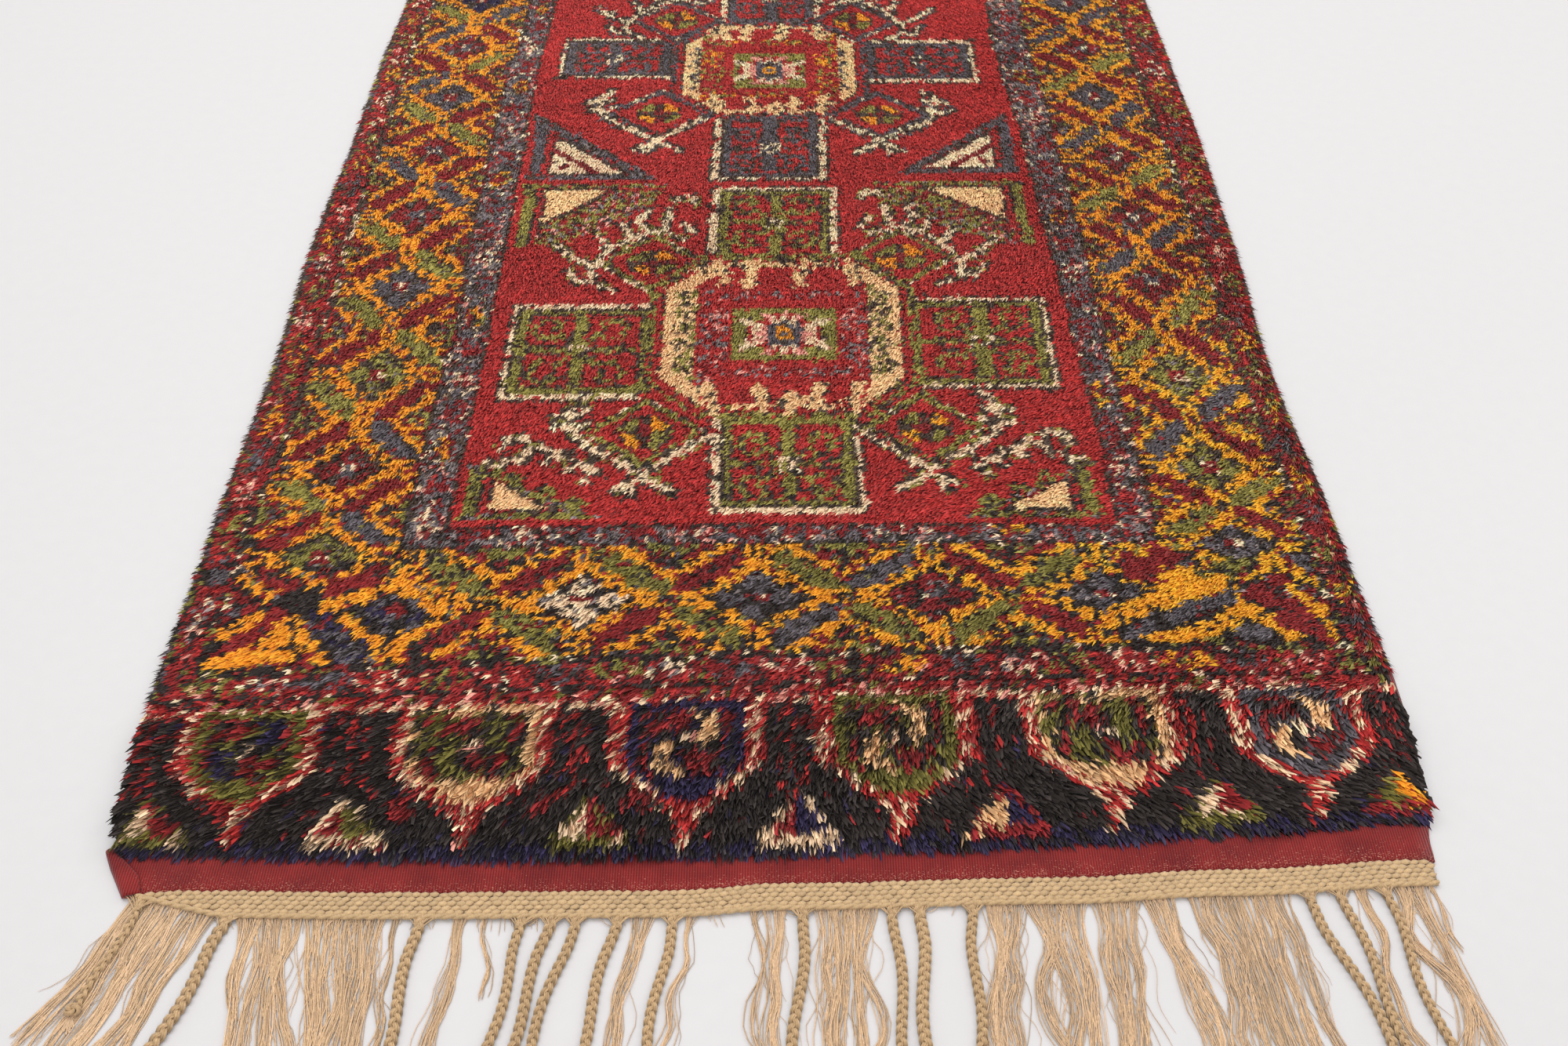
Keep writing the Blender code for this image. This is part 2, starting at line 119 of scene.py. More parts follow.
FADED_BLACK = linear(84, 68, 58)
PALE_END = np.array(linear(96, 92, 110))
# The warm tint painted into the shaded roots of the locks.
ROOT_SHADE = (0.10, 0.05, 0.03)
PANEL_TONES = {
    Wool.RED: 0.85, Wool.CRIMSON: 1.00, Wool.GOLD: 0.88, Wool.GREEN: 0.72, Wool.SLATE: 0.82, Wool.NAVY: 0.90,
    Wool.BLACK: 0.98, Wool.CREAM: 0.76, Wool.WHITE: 0.82, Wool.PINK: 0.80, Wool.GREY: 0.82,
}


def eased(at: Array, places: tuple, values: tuple) -> Array:
    """Reads a short table at many places, easing from row to row.

    Args:
        at: The places to read.
        places: The rows' places, rising.
        values: The rows' values.

    Returns:
        One value for each place.
    """
    rows, column = np.asarray(places, dtype=float), np.asarray(values, dtype=float)
    low = np.clip(np.searchsorted(rows, at, side="right") - 1, 0, len(rows) - 2)
    share = unit((at - rows[low]) / (rows[low + 1] - rows[low]))
    return column[low] + (column[low + 1] - column[low]) * (0.5 - 0.5 * np.cos(np.pi * share))


def unit(values: Array) -> Array:
    """Holds values between 0 and 1."""
    return np.clip(values, 0.0, 1.0)


def swell(x: Array, y: Array, span: float, seed: int) -> Array:
    """Returns a smooth random value from -1 to 1 at each place.

    Args:
        x: Places across.
        y: Places along.
        span: The distance over which it changes.
        seed: Which pattern it is.
    """
    lattice = np.random.default_rng(seed).uniform(-1.0, 1.0, (64, 64))
    u, v = x / span, y / span
    i, j = np.floor(u).astype(int), np.floor(v).astype(int)
    s, t = u - i, v - j
    s, t = s * s * (3 - 2 * s), t * t * (3 - 2 * t)
    near = lattice[i % 64, j % 64] * (1 - s) + lattice[(i + 1) % 64, j % 64] * s
    far = lattice[i % 64, (j + 1) % 64] * (1 - s) + lattice[(i + 1) % 64, (j + 1) % 64] * s
    return near * (1 - t) + far * t


@dataclass(frozen=True)
class RugPlan:
    """Where the cloth's edges lie, in metres from the middle of the pile."""

    side_places: tuple = (-1.1090, -1.0620, -1.0025, -0.8825, -0.6825, -0.3825, -0.1425, 0.1175, 0.3175,
                          0.5175, 0.7675, 1.0975)
    left_sides: tuple = (-0.589, -0.613, -0.624, -0.630, -0.626, -0.620, -0.624, -0.616, -0.614, -0.606,
                         -0.605, -0.600)
    right_sides: tuple = (0.593, 0.596, 0.610, 0.620, 0.614, 0.600, 0.607, 0.609, 0.604, 0.598, 0.600, 0.596)
    pile_end_places: tuple = (-0.62, -0.35, -0.10, 0.00, 0.10, 0.30, 0.45, 0.62)
    pile_end_reach: tuple = (1.0610, 1.0755, 1.0735, 1.0640, 1.0620, 1.0525, 1.0385, 1.0320)
    skirt_end_places: tuple = (-0.60, -0.54, -0.35, -0.10, 0.00, 0.25, 0.40, 0.60)
    skirt_end_reach: tuple = (1.1085, 1.1045, 1.1070, 1.1060, 1.0990, 1.0940, 1.0865, 1.0765)
    far_pile_end: float = 1.0625
    far_skirt_end: float = 1.0975
    photo_zero: float = 0.5175

    def left(self, y: Array) -> Array:
        """Returns the left edge's x at each y."""
        return eased(y, self.side_places, self.left_sides)

    def right(self, y: Array) -> Array:
        """Returns the right edge's x at each y."""
        return eased(y, self.side_places, self.right_sides)

    def pile_end(self, x: Array) -> Array:
        """Returns the y at which the near pile ends."""
        return -eased(x, self.pile_end_places, self.pile_end_reach)

    def skirt_end(self, x: Array) -> Array:
        """Returns the y at which the near skirt ends."""
        return -eased(x, self.skirt_end_places, self.skirt_end_reach)


PLAN = RugPlan()
FRINGE_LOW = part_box("fringe_far")[0]
RUG_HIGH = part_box("woven_rug")[1]
SHIFT = Vector((FRINGE_LOW[0] + 0.600, RUG_HIGH[1] - PLAN.far_skirt_end, 0.0))

LETTERS = dict(zip("rcogsnktwpy", Wool))


def wools(marks: str) -> tuple[Wool, ...]:
    """Turns letters into wools, one for each."""
    return tuple(LETTERS[mark] for mark in marks)


# A quarter of the star in a medallion, charted as weavers chart it: a letter is a knot of one wool,
# and the far row comes first.
STAR_QUARTER = (
    "ggggggggggggg",
    "ggggggggggggg",
    "gggggggppprrp",
    "ggggggggppwrw",
    "gpwwkgggrpwrw",
    "ggwwwwrrrswws",
    "gggwwwwwrsssk",
    "ggggrwwppsssk",
    "gggkrwwwpssoo",
    "ggggrwpppssoy",
)

# White chains beside a small diamond, as columns outwards and rows from its middle.
NEAR_CHAIN = (
    ((-14.0, 12.5), (-18.0, 7.5), (-17.4, 2.5), (-15.0, -2.5), (-10.0, -7.0), (-4.6, -10.4), (0.0, -14.0),
     (6.5, -8.0), (14.5, -1.5)),
    ((-20.8, 6.0), (-17.6, 7.4)),
    ((-13.8, 7.6), (-17.0, 5.2)),
    ((-21.0, 2.4), (-17.4, 1.0)),
    ((-13.6, 3.2), (-16.6, 0.4)),
    ((0.0, -14.5), (-5.5, -18.8)),
    ((-1.8, -16.8), (-2.3, -19.8)),
    ((1.0, -15.5), (7.0, -19.4)),
)
NEAR_CURLS = (
    ((-23.8, -4.2), (-20.4, -7.0), (-15.6, -8.8)),
    ((-21.6, -9.4), (-18.4, -7.8)),
    ((-16.6, -12.4), (-14.4, -10.2), (-10.5, -12.8)),
    ((-12.6, -15.6), (-10.8, -13.0)),
    ((-31.5, -9.6), (-27.5, -8.6), (-25.6, -4.8), (-28.0, -1.4), (-31.6, -2.0), (-32.6, -5.4)),
    ((-35.2, -9.8), (-33.0, -11.4)),
)
FAR_CHAIN = (
    ((-25.6, 7.9), (-20.4, 1.8), (-15.0, -1.2), (-11.6, 5.6), (-6.0, 10.8), (1.0, 13.8), (7.6, 10.5)),
    ((-21.5, -3.0), (-18.8, -8.0), (-15.2, -7.4), (-16.0, -2.5)),
    ((-12.5, -9.5), (-10.0, -11.5)),
    ((-14.8, 12.4), (-11.8, 6.8)),
    ((-9.0, 18.0), (-6.4, 11.2)),
    ((-2.3, 23.0), (-5.3, 18.8), (-2.0, 14.5)),
    ((3.2, 23.8), (2.3, 15.0)),
    ((4.0, 28.4), (8.0, 30.0), (9.6, 26.8)),
    ((7.6, 17.4), (10.4, 13.2)),
)


@dataclass(frozen=True)
class Shield:
    """One shield of the panel: its middle column, its half width, its inner band and its scroll."""

    middle: float
    half: float
    band: Wool
    scroll: Wool


@dataclass(frozen=True)
class Figure:
    """A box or small diamond: its middle, half its size, and which way the medallion's middle lies."""

    column: float
    row: float
    half_x: float
    half_y: float
    to_right: int
    to_far: int


@dataclass(frozen=True)
class Medallion:
    """A large medallion: its octagon, its leaf wool, its four boxes and its four small diamonds."""

    middle: Figure
    leaf: Wool
    boxes: tuple[Figure, ...]
    diamonds: tuple[Figure, ...]


@dataclass(frozen=True)
class Corner:
    """A right-angled corner piece of the field, with a bright heart."""

    to_right: int
    to_far: int
    row: float
    width: float
    height: float
    heart_width: float
    heart_height: float
    leaf: Wool
    heart: Wool
    striped: bool = False


# The lines of a box's frame from its rim inwards: from and to how many knots in, and the recipe, where l is
# the medallion's leaf wool. Then the curl in a quarter of it, as shares of the way out to its corner.
BOX_FRAME = ((-9.0, 0.3, "r40 k60"), (0.3, 1.7, "w82 r6 k12"), (1.7, 2.4, "k80 l20"), (2.4, 3.9, "l90 k10"),
             (3.9, 4.6, "k60 l16 r24"))
BOX_CURL = ((0.06, 0.08), *((0.43 - 0.19 * math.cos(turn), 0.44 - 0.21 * math.sin(turn))
                            for turn in (0.6, 1.5, 2.4, 3.3, 4.1, 4.9)), (0.29, 0.60), (0.36, 0.46))
# The pale flames inside a medallion's near and far rims: where each stands across, how many columns its tip
# leans outwards, and its height in rows.
MEDALLION_FLAMES = {
    -1: ((-0.54, -1.6, 9.5), (-0.16, -0.8, 8.0), (0.04, 0.8, 5.5), (0.24, 1.4, 8.5), (0.56, 1.2, 9.5)),
    1: ((-0.56, 2.4, 9.0), (-0.26, -1.0, 10.5), (0.18, -1.6, 9.5), (0.56, 1.4, 10.0)),
}
SHIELDS = (
    Shield(23.5, 13.5, Wool.GREEN, Wool.NAVY), Shield(65.5, 15.0, Wool.CREAM, Wool.GREEN),
    Shield(105.5, 14.5, Wool.NAVY, Wool.CREAM), Shield(144.5, 14.5, Wool.GREEN, Wool.CREAM),
    Shield(183.5, 15.0, Wool.CREAM, Wool.GREEN), Shield(221.0, 13.0, Wool.SLATE, Wool.CREAM),
)
# The middle columns of the zigzags between the shields, and the columns and rows of the round knobs.
ZIGZAGS = (3.0, 43.0, 84.5, 125.5, 160.0, 200.0, 238.5)
KNOBS = ((39.0, 7), (54.0, 10), (78.0, 11), (96.0, 11))
# The small triangles at the panel's foot: the middle column, and letters for the left, right and rim wools.
PEAKS = {7.5: "wcg", 44.0: "cgw", 88.0: "wcg", 126.0: "cnw", 163.5: "tnc", 202.5: "wcg", 236.5: "goc"}
MEDALLIONS = (
    Medallion(Figure(124.3, 147.3, 30.3, 29.5, 0, 0), Wool.GREEN,
              (Figure(73.9, 140.4, 18.2, 17.9, 1, 0), Figure(173.4, 143.6, 17.7, 17.6, -1, 0),
               Figure(124.7, 100.2, 17.5, 15.6, 0, 1), Figure(121.7, 193.2, 17.2, 17.0, 0, -1)),
              (Figure(92.0, 111.0, 14.0, 10.6, 1, 1), Figure(157.0, 112.5, 13.6, 11.2, -1, 1),
               Figure(90.2, 175.5, 13.6, 12.0, 1, -1), Figure(154.6, 178.0, 13.4, 12.0, -1, -1))),
    Medallion(Figure(119.3, 273.0, 26.9, 26.0, 0, 0), Wool.SLATE,
              (Figure(72.0, 279.0, 17.2, 12.2, 1, 0), Figure(166.0, 277.0, 17.2, 12.5, -1, 0),
               Figure(119.5, 229.0, 16.2, 16.2, 0, 1), Figure(119.5, 316.5, 16.2, 15.5, 0, -1)),
              (Figure(87.0, 247.5, 15.0, 12.0, 1, 1), Figure(151.5, 246.5, 14.5, 12.0, -1, 1),
               Figure(89.5, 302.0, 14.0, 12.0, 1, -1), Figure(146.0, 301.0, 14.0, 12.0, -1, -1))),
)
CORNERS = (
    Corner(-1, 1, 83.5, 32.0, 18.5, 13.5, 9.5, Wool.GREEN, Wool.CREAM),
    Corner(1, 1, 84.0, 31.0, 18.0, 13.5, 9.0, Wool.GREEN, Wool.CREAM),
    Corner(-1, -1, 211.0, 40.0, 29.0, 17.5, 15.5, Wool.GREEN, Wool.CREAM),
    Corner(1, -1, 212.0, 42.0, 29.0, 20.5, 14.5, Wool.GREEN, Wool.CREAM),
    Corner(-1, 1, 214.0, 37.0, 34.0, 20.0, 18.0, Wool.SLATE, Wool.WHITE, True),
    Corner(1, 1, 216.5, 35.0, 32.0, 20.0, 17.0, Wool.SLATE, Wool.WHITE, True),
    Corner(-1, -1, 341.0, 32.0, 19.0, 13.5, 10.0, Wool.SLATE, Wool.CREAM),
    Corner(1, -1, 341.0, 32.0, 19.0, 13.5, 10.0, Wool.SLATE, Wool.CREAM),
)
# The diamonds of the main border: the place along it, and letters for the heart and for the far left, far
# right, near left and near right leaves.
LEFT_STARS = {44.0: "ggsgc", 73.5: "gcssc", 99.5: "ccsgc", 131.6: "gcggc", 165.4: "scggc", 197.0: "ccsgc",
              228.2: "ccgsc", 256.5: "sscgc", 285.5: "csccg", 315.0: "nccgs", 346.0: "gcgsc"}
RIGHT_STARS = {46.0: "ssccc", 75.0: "sgccs", 99.5: "gsccg", 130.4: "ggccs", 167.4: "csccg", 195.6: "cgccs",
               224.0: "csccg", 257.0: "sgccs", 284.0: "csccg", 313.0: "sgccs", 345.0: "csccg"}
END_STARS = {10.0: "cccgc", 45.0: "ncgnc", 82.0: "wcggc", 118.0: "scggs", 154.0: "cscgg", 189.5: "sgcco",
             226.0: "cgscc"}
# The bold flames in the two near corners of the main border: a wool, half the width, and the corners of the
# stroke as columns and rows.
NEAR_FLAMES = (
    ("k", 7.0, (13, 50), (24, 58)),
    ("c", 2.6, (12, 48), (20, 58)),
    ("o", 1.7, (11, 54), (13, 56), (16, 58)),
    ("o", 2.3, (9, 46), (18, 48), (22, 52), (22, 55)),
    ("o", 1.6, (18, 50), (25, 47)),
    ("o", 0.8, (25, 58), (26, 53)),
    ("o", 2.0, (28, 57), (28, 52), (31, 48), (34, 45)),
    ("c", 1.2, (26, 45), (29, 47)),
    ("k", 4.6, (30, 58), (34, 53), (38, 47)),
    ("n", 2.6, (29, 58), (33, 52)),
    ("n", 3.6, (34, 53), (39, 46)),
    ("k", 6.0, (39, 63), (47, 55)),
    ("n", 2.2, (40, 61), (46, 63), (50, 58), (46, 54), (39, 58)),
    ("c", 1.2, (44, 59), (45, 58)),
    ("o", 1.1, (34, 57), (38, 53), (43, 50)),
    ("o", 1.9, (30, 60), (36, 62), (41, 65)),
    ("o", 1.6, (42, 66), (48, 62), (53, 58)),
    ("o", 1.5, (47, 50), (53, 55)),
    ("o", 1.2, (43, 50), (43, 44)),
    ("o", 0.9, (46, 50), (46, 45)),
    ("k", 0.5, (44.5, 51), (44.5, 44)),
    ("c", 1.6, (30, 66), (39, 66)),
    ("k", 5.6, (196, 53), (228, 50)),
    ("o", 2.5, (190, 52), (199, 57), (206, 59), (214, 63)),
    ("o", 2.2, (203, 66), (208, 63), (202, 58)),
    ("o", 2.2, (199, 46), (209, 49), (218, 55)),
    ("s", 1.9, (202, 52), (208, 56), (215, 58)),
    ("s", 1.8, (193, 48), (197, 50)),
    ("o", 0.7, (217, 59), (216, 54)),
    ("o", 1.9, (219, 54), (224, 49), (227, 46)),
    ("o", 1.3, (220, 55), (221, 50)),
    ("c", 2.6, (225, 52), (232, 48)),
    ("s", 1.8, (216, 48), (220, 48)),
    ("c", 3.0, (197, 66), (204, 70)),
    ("c", 2.4, (221, 60), (230, 55)),
    ("o", 1.1, (228, 62), (232, 56), (234, 47)),
)
# Recipes of the soft flowers in the narrow borders: letters of wools, each with its share in per cent.
FLOWERS = {
    "W": "w24 p10 y16 c32 k18", "P": "p16 w14 r26 c32 k12", "S": "s42 k26 c32", "L": "g34 k24 t8 c34",
    "O": "o30 g16 c36 k18", "C": "c56 r16 s16 y12",
}


@dataclass
class Cartoon:
    """The weaver's plan of knots: one wool for each, row 0 at the near end and column 0 at the left."""

    columns: int = 244
    rows: int = 424
    edge: int = 2
    line_rows: tuple = (80, 130, 165, 200, 230, 260, 290, 320, 345)
    left_main: tuple = (9.5, 10.8, 11.2, 10.4, 9.4, 9.2, 9.8, 10.0, 9.5)
    left_inner: tuple = (41.5, 41.9, 42.2, 40.8, 39.6, 39.6, 40.2, 40.6, 41.5)
    field_left: tuple = (51.0, 51.3, 51.8, 51.2, 50.2, 49.4, 49.2, 50.0, 51.0)
    field_right: tuple = (195.6, 196.6, 194.8, 192.4, 191.6, 190.2, 188.6, 190.4, 195.0)
    right_main: tuple = (204.0, 204.4, 203.8, 202.8, 201.6, 201.0, 200.4, 201.6, 204.0)
    right_thin: tuple = (235.0, 234.5, 233.5, 232.5, 231.5, 231.0, 231.0, 232.8, 235.0)
    outline_row: int = 36
    guard_row: int = 38
    thin_row: int = 44
    main_row: int = 46
    inner_row: int = 75
    field_row: int = 82
    unsettled: float = 0.09
    seed: int = 11
    knots: Array = field(init=False)
    row: Array = field(init=False)
    column: Array = field(init=False)
    chance: np.random.Generator = field(init=False)

    def __post_init__(self) -> None:
        """Starts from a plain red field."""
        self.knots = np.full((self.rows, self.columns), Wool.RED, dtype=np.int8)
        self.row, self.column = np.mgrid[0:self.rows, 0:self.columns].astype(float)
        self.chance = np.random.default_rng(self.seed)

    def line(self, values: tuple) -> Array:
        """Returns the column of one long line of the layout at each knot's row."""
        return np.interp(self.row, self.line_rows, values)

    def line_at(self, values: tuple, row: float) -> float:
        """Returns the column of one long line at one row."""
        return float(np.interp(row, self.line_rows, values))

    def fill(self, mask: Array, wool: Wool) -> None:
        """Knots one wool wherever the mask holds."""
        self.knots[mask] = wool

    def speckle(self, mask: Array, palette: list, shares: list) -> None:
        """Knots a random mix of wools, in the given shares, wherever the mask holds."""
        numbers = np.array(palette, dtype=np.int8)
        self.knots[mask] = self.chance.choice(numbers, size=int(mask.sum()), p=shares)

    def mix(self, mask: Array, recipe: str, **own: Wool) -> None:
        """Knots a random mix wherever the mask holds.

        Args:
            mask: Which knots.
            recipe: The letter of each wool with its share in per cent.
            own: The figure's own wools, by the letters that stand for them in the recipe.
        """
        known, parts = {**LETTERS, **own}, recipe.split()
        self.speckle(mask, [known[part[0]] for part in parts], [int(part[1:]) / 100 for part in parts])

    def stroke(self, points: tuple, half: float, marks: str, **own: Wool) -> None:
        """Knots a bent line freehand.

        Args:
            points: Its corners, as columns and rows.
            half: Half its width in knots.
            marks: The letters of its wools, one of them for each knot by chance.
            own: The figure's own wools, by the letters that stand for them.
        """
        known = {**LETTERS, **own}
        palette = [known[mark] for mark in marks]
        ragged = (self.chance.random(self.knots.shape) - 0.5) * 1.1
        for (c0, r0), (c1, r1) in zip(points, points[1:]):
            way = np.array((c1 - c0, r1 - r0), dtype=float)
            share = ((self.column - c0) * way[0] + (self.row - r0) * way[1]) / max(1e-6, float(way @ way))
            share = unit(share)
            gap = np.hypot(self.column - c0 - share * way[0], self.row - r0 - share * way[1])
            self.speckle(gap + ragged <= half, palette, [1 / len(palette)] * len(palette))

    def bloom(self, column: float, row: float, half_x: float, half_y: float, mark: str) -> None:
        """Knots one soft flower of a narrow border round a column and row, by the letter of its recipe."""
        away = np.hypot((self.column - column) / half_x, (self.row - row) / half_y)
        away = away + (self.chance.random(self.knots.shape) - 0.5) * 0.45
        self.mix(away <= 1.0, FLOWERS[mark])

    def stamp(self, chart: tuple, row: float, column: float, flip_x: bool, flip_y: bool) -> None:
        """Knots a charted motif.

        Args:
            chart: Its lines of letters, the far row first.
            row: The row of its middle.
            column: The column of its middle.
            flip_x: Whether left and right change places.
            flip_y: Whether near and far change places.
        """
        grid = np.array([wools(line) for line in chart], dtype=np.int8)
        grid = grid[::1 if flip_y else -1, ::-1 if flip_x else 1]
        low_row, low_column = round(row - grid.shape[0] / 2), round(column - grid.shape[1] / 2)
        self.knots[low_row:low_row + grid.shape[0], low_column:low_column + grid.shape[1]] = grid

    def medallion(self, plan: Medallion) -> None:
        """Knots one large medallion with its four boxes and four diamonds."""
        middle, leaf = plan.middle, plan.leaf
        for figure in plan.boxes:
            self.box(figure, leaf)
        for figure in plan.diamonds:
            self.lozenge(figure, leaf)
        half_x, half_y = middle.half_x, middle.half_y
        dx, dy = self.column - middle.column, self.row - middle.row
        ax, ay = abs(dx), abs(dy)
        cut = half_x + half_y - 11.5
        octagon = (ax <= half_x) & (ay <= half_y) & (ax + ay <= cut)
        rim = octagon & ~((ax <= half_x - 1) & (ay <= half_y - 1) & (ax + ay <= cut - 1.5))
        outside = (ax <= half_x + 3.0) & (ay <= half_y + 2.6) & (ax + ay <= cut + 4.0)
        outside &= ~octagon & ((ax > half_x + 1) | (ay > half_y + 0.8) | (ax + ay > cut + 1.5))
        self.mix(outside, "l56 k22 r22", l=leaf)
        self.fill(octagon, Wool.RED)
        self.mix(rim, "k42 l10 r48", l=leaf)
        body = octagon & ~rim
        side = body & (ax >= half_x - 8.6) & (ay <= half_y - 9.0)
        self.fill(side, Wool.CREAM)
        mottled = side & (ax < half_x - 3.4 + 1.2 * np.sin(dy * 0.9))
        self.mix(mottled, "t40 k28 l32", l=leaf)
        self.fill(body & (ay > half_y - 13.5) & (ax + ay > cut - 7.5) & (ax > 13), Wool.CREAM)
        self.mix((ax > half_x - 10.2) & (ax <= half_x - 9.2) & (ay <= half_y - 10), "k50 r50")
        self.mix(body & (ay > half_y - 3.0) & (ax < 21), "t72 k12 r10 l6", l=leaf)
        for to_far, flames in MEDALLION_FLAMES.items():
            for share, lean, tall in flames:
                self.flame(middle, share, to_far, lean, tall)
        narrow = 2 if leaf == Wool.SLATE else 0
        chart = tuple(line[narrow:] for line in STAR_QUARTER)
        aside = len(chart[0]) / 2
        for flip_x in (False, True):
            for flip_y in (False, True):
                self.stamp(chart, middle.row + (-5 if flip_y else 5) - 0.5,
                           middle.column + (aside if flip_x else -aside) + 0.5, flip_x=flip_x, flip_y=flip_y)
        pale = {"f": Wool.GREEN, "h": Wool.GOLD} if narrow else {"f": Wool.GREY, "h": Wool.PINK}
        for s in (-1, 1):
            place = abs(dx - s * 17.0)
            self.mix((place <= 3.0) & (abs(dy - 5.0) <= 4.5), "r40 f14 h34 c12", **pale)
            self.mix((place <= 3.0) & (abs(dy + 6.0) <= 5.5), "r46 f26 h12 c16", **pale)
            self.mix((abs(dx - s * 19.5) <= 1.3) & (ay <= 19), "r48 f26 h10 c16", **pale)
            self.mix((ax <= 15) & (abs(dy - s * 15.0) <= 1.6), "r50 f26 h10 c14", **pale)
            self.mix((ax > 12) & (ax <= 17) & (abs(dy - s * 14.0) <= 1.6), "r54 f22 h8 c16", **pale)

    def flame(self, middle: Figure, share: float, to_far: int, lean: float, tall: float) -> None:
        """Knots one pale flame from a medallion's rim towards its middle.

        Args:
            middle: The medallion.
            share: Where it stands across, as a share of the medallion's half.
            to_far: 1 for the far rim and -1 for the near one.
            lean: How many columns its tip leans outwards.
            tall: Its height in rows.
        """
        column, rim = middle.column + middle.half_x * share, middle.row + to_far * middle.half_y
        root, tip = (column, rim - to_far * 1.5), (column + lean, rim - to_far * tall)
        self.stroke((root, tip), 2.3, "krt")
        self.stroke((root, tip), 1.35, "t")
        branch = ((root[0] + tip[0]) / 2, (root[1] + tip[1]) / 2), (column - lean - 2.2, rim - to_far * 3.5)
        self.stroke(branch, 0.8, "ttk")

    def box(self, plan: Figure, leaf: Wool) -> None:
        """Knots one framed box with a curled hook in each quarter, its white line open to the medallion."""
        dx, dy = self.column - plan.column, self.row - plan.row
        ax, ay = abs(dx), abs(dy)
        half_x, half_y = plan.half_x, plan.half_y
        open_x = 1.9 * ((plan.to_right != 0) & (dx * plan.to_right > 0))
        open_y = 1.9 * ((plan.to_far != 0) & (dy * plan.to_far > 0))
        inset = np.minimum((half_x - ax) * 0.82 + open_x, half_y - ay + open_y)
        self.fill((half_x - ax >= -0.8) & (half_y - ay >= -0.8), Wool.RED)
        within = (ax <= half_x + 0.6) & (ay <= half_y + 0.6)
        for low, high, recipe in BOX_FRAME:
            self.mix(within & (inset >= low) & (inset < high), recipe, l=leaf)
        inner = within & (inset >= BOX_FRAME[-1][1])
        self.mix(inner & (ax < 2.6), "k60 r40")
        self.mix(inner & (ax < 1.6), "l92 k8", l=leaf)
        self.mix(inner & (ay < 1.8) & (ax >= 1.6), "k50 r50")
        self.mix(inner & (ay < 0.9), "l66 k22 r12", l=leaf)
        for sx in (-1, 1):
            for sy in (-1, 1):
                self.curl(plan, sx * half_x, sy * half_y, leaf)
        self.mix((ax < 2.6) & (ay < 2.4) & (ax + ay > 1), "w42 k25 l33", l=leaf)

    def curl(self, plan: Figure, reach_x: float, reach_y: float, leaf: Wool) -> None:
        """Knots one curled hook from a box's middle out into one quarter of it."""
        path = tuple((plan.column + reach_x * u, plan.row + reach_y * v) for u, v in BOX_CURL)
        self.stroke(path, 1.2, "krkrl", l=leaf)
        self.stroke(path, 0.58, "llllk", l=leaf)

    def lozenge(self, plan: Figure, leaf: Wool) -> None:
        """Knots one small diamond, white outside on three sides, with hooks off its outer corner."""
        dx, dy = self.column - plan.column, self.row - plan.row
        away = abs(dx) / plan.half_x + abs(dy) / plan.half_y
        self.fill(away <= 1.22, Wool.RED)
        self.mix((away > 1.0) & (away <= 1.12), "l38 k34 w28", l=leaf)
        self.mix((away > 0.86) & (away <= 1.0), "l72 k28", l=leaf)
        side, near = (1 if plan.to_right > 0 else -1), plan.to_far > 0
        lines = NEAR_CHAIN if near else FAR_CHAIN
        if near and leaf == Wool.GREEN:
            lines = lines + NEAR_CURLS
        for half, marks in ((1.9, "kkkrl"), (0.85, "wwwwk")):
            for line in lines:
                path = tuple((plan.column + side * u, plan.row + v) for u, v in line)
                self.stroke(path, half, marks, l=leaf)
        reach = abs(dx) + abs(dy) * 1.15
        core = (abs(dx) <= 6.6) & (abs(dy) <= 5.0) & (reach <= 9.0)
        self.mix(core, "k70 c30")
        gold = (dx < 0) == (dy < 0)
        petal = core & (abs(dx) > 1.2) & (abs(dy) > 0.6) & (reach < 8.2)
        self.mix(petal & ~gold, "g78 k22")
        self.mix(petal & gold & (abs(dx) < 6.0), "o88 k12")
        self.fill((abs(dx) <= 1.2) & (abs(dy) <= 1.4), Wool.CRIMSON)

    def corner(self, plan: Corner) -> None:
        """Knots a right-angled corner piece, its right angle at the side border."""
        if plan.to_right < 0:
            u = self.column - self.line(self.field_left) - 1
        else:
            u = self.line(self.field_right) - 2 - self.column
        v = (self.row - plan.row) * plan.to_far
        inside = (u >= 0) & (v >= 0)
        deep = plan.height > 22 and plan.to_far < 0
        power = 1.6 if deep else 1.0
        slant = (np.maximum(u, 0.0) / plan.width) ** power + (np.maximum(v, 0.0) / plan.height) ** power
        heart_u, heart_v = u - 7.0, v - 2.6
        s = heart_u / plan.heart_width + heart_v / plan.heart_height
        body = inside & (slant <= 1.0)
        self.fill(body, Wool.RED)
        self.mix(body & (u >= 1) & (u < 4), "l85 k15", l=plan.leaf)
        self.mix(body & (u >= 4) & (u < 5), "k60 r40")
        line = 2.6 if plan.striped else 1.8
        self.mix(body & (v < line), "l50 k26 y14 r10", l=plan.leaf)
        if deep:
            web = body & (s > 1.05) & (u > 6.0) & (v >= line + 0.8)
            self.mix(web, "l36 k16 c20 y10 p7 r11", l=plan.leaf)
        else:
            self.mix(body & (slant > 0.87), "l46 k32 y16 r6", l=plan.leaf)
        for share in () if plan.striped or deep else (0.36, 0.58, 0.80):
            knob = np.hypot(u - plan.width * share, (v - plan.height * (1.04 - share)) * 1.1)
            self.mix(inside & (knob < 2.5), "l52 k34 r14", l=plan.leaf)
        self.mix(inside & (heart_u >= -1) & (heart_v >= -1) & (s <= 1.13), "k70 c30")
        core = inside & (heart_u >= 0) & (heart_v >= 0) & (s <= 1.0)
        self.fill(core, plan.heart)
        if plan.striped:
            self.fill(core & (s > 0.58) & (s < 0.74), Wool.CRIMSON)
            notch = (abs(heart_u - heart_v) < 1.6) & (s > 0.22) & (s < 0.50)
            self.mix(core & notch, "c70 k30")

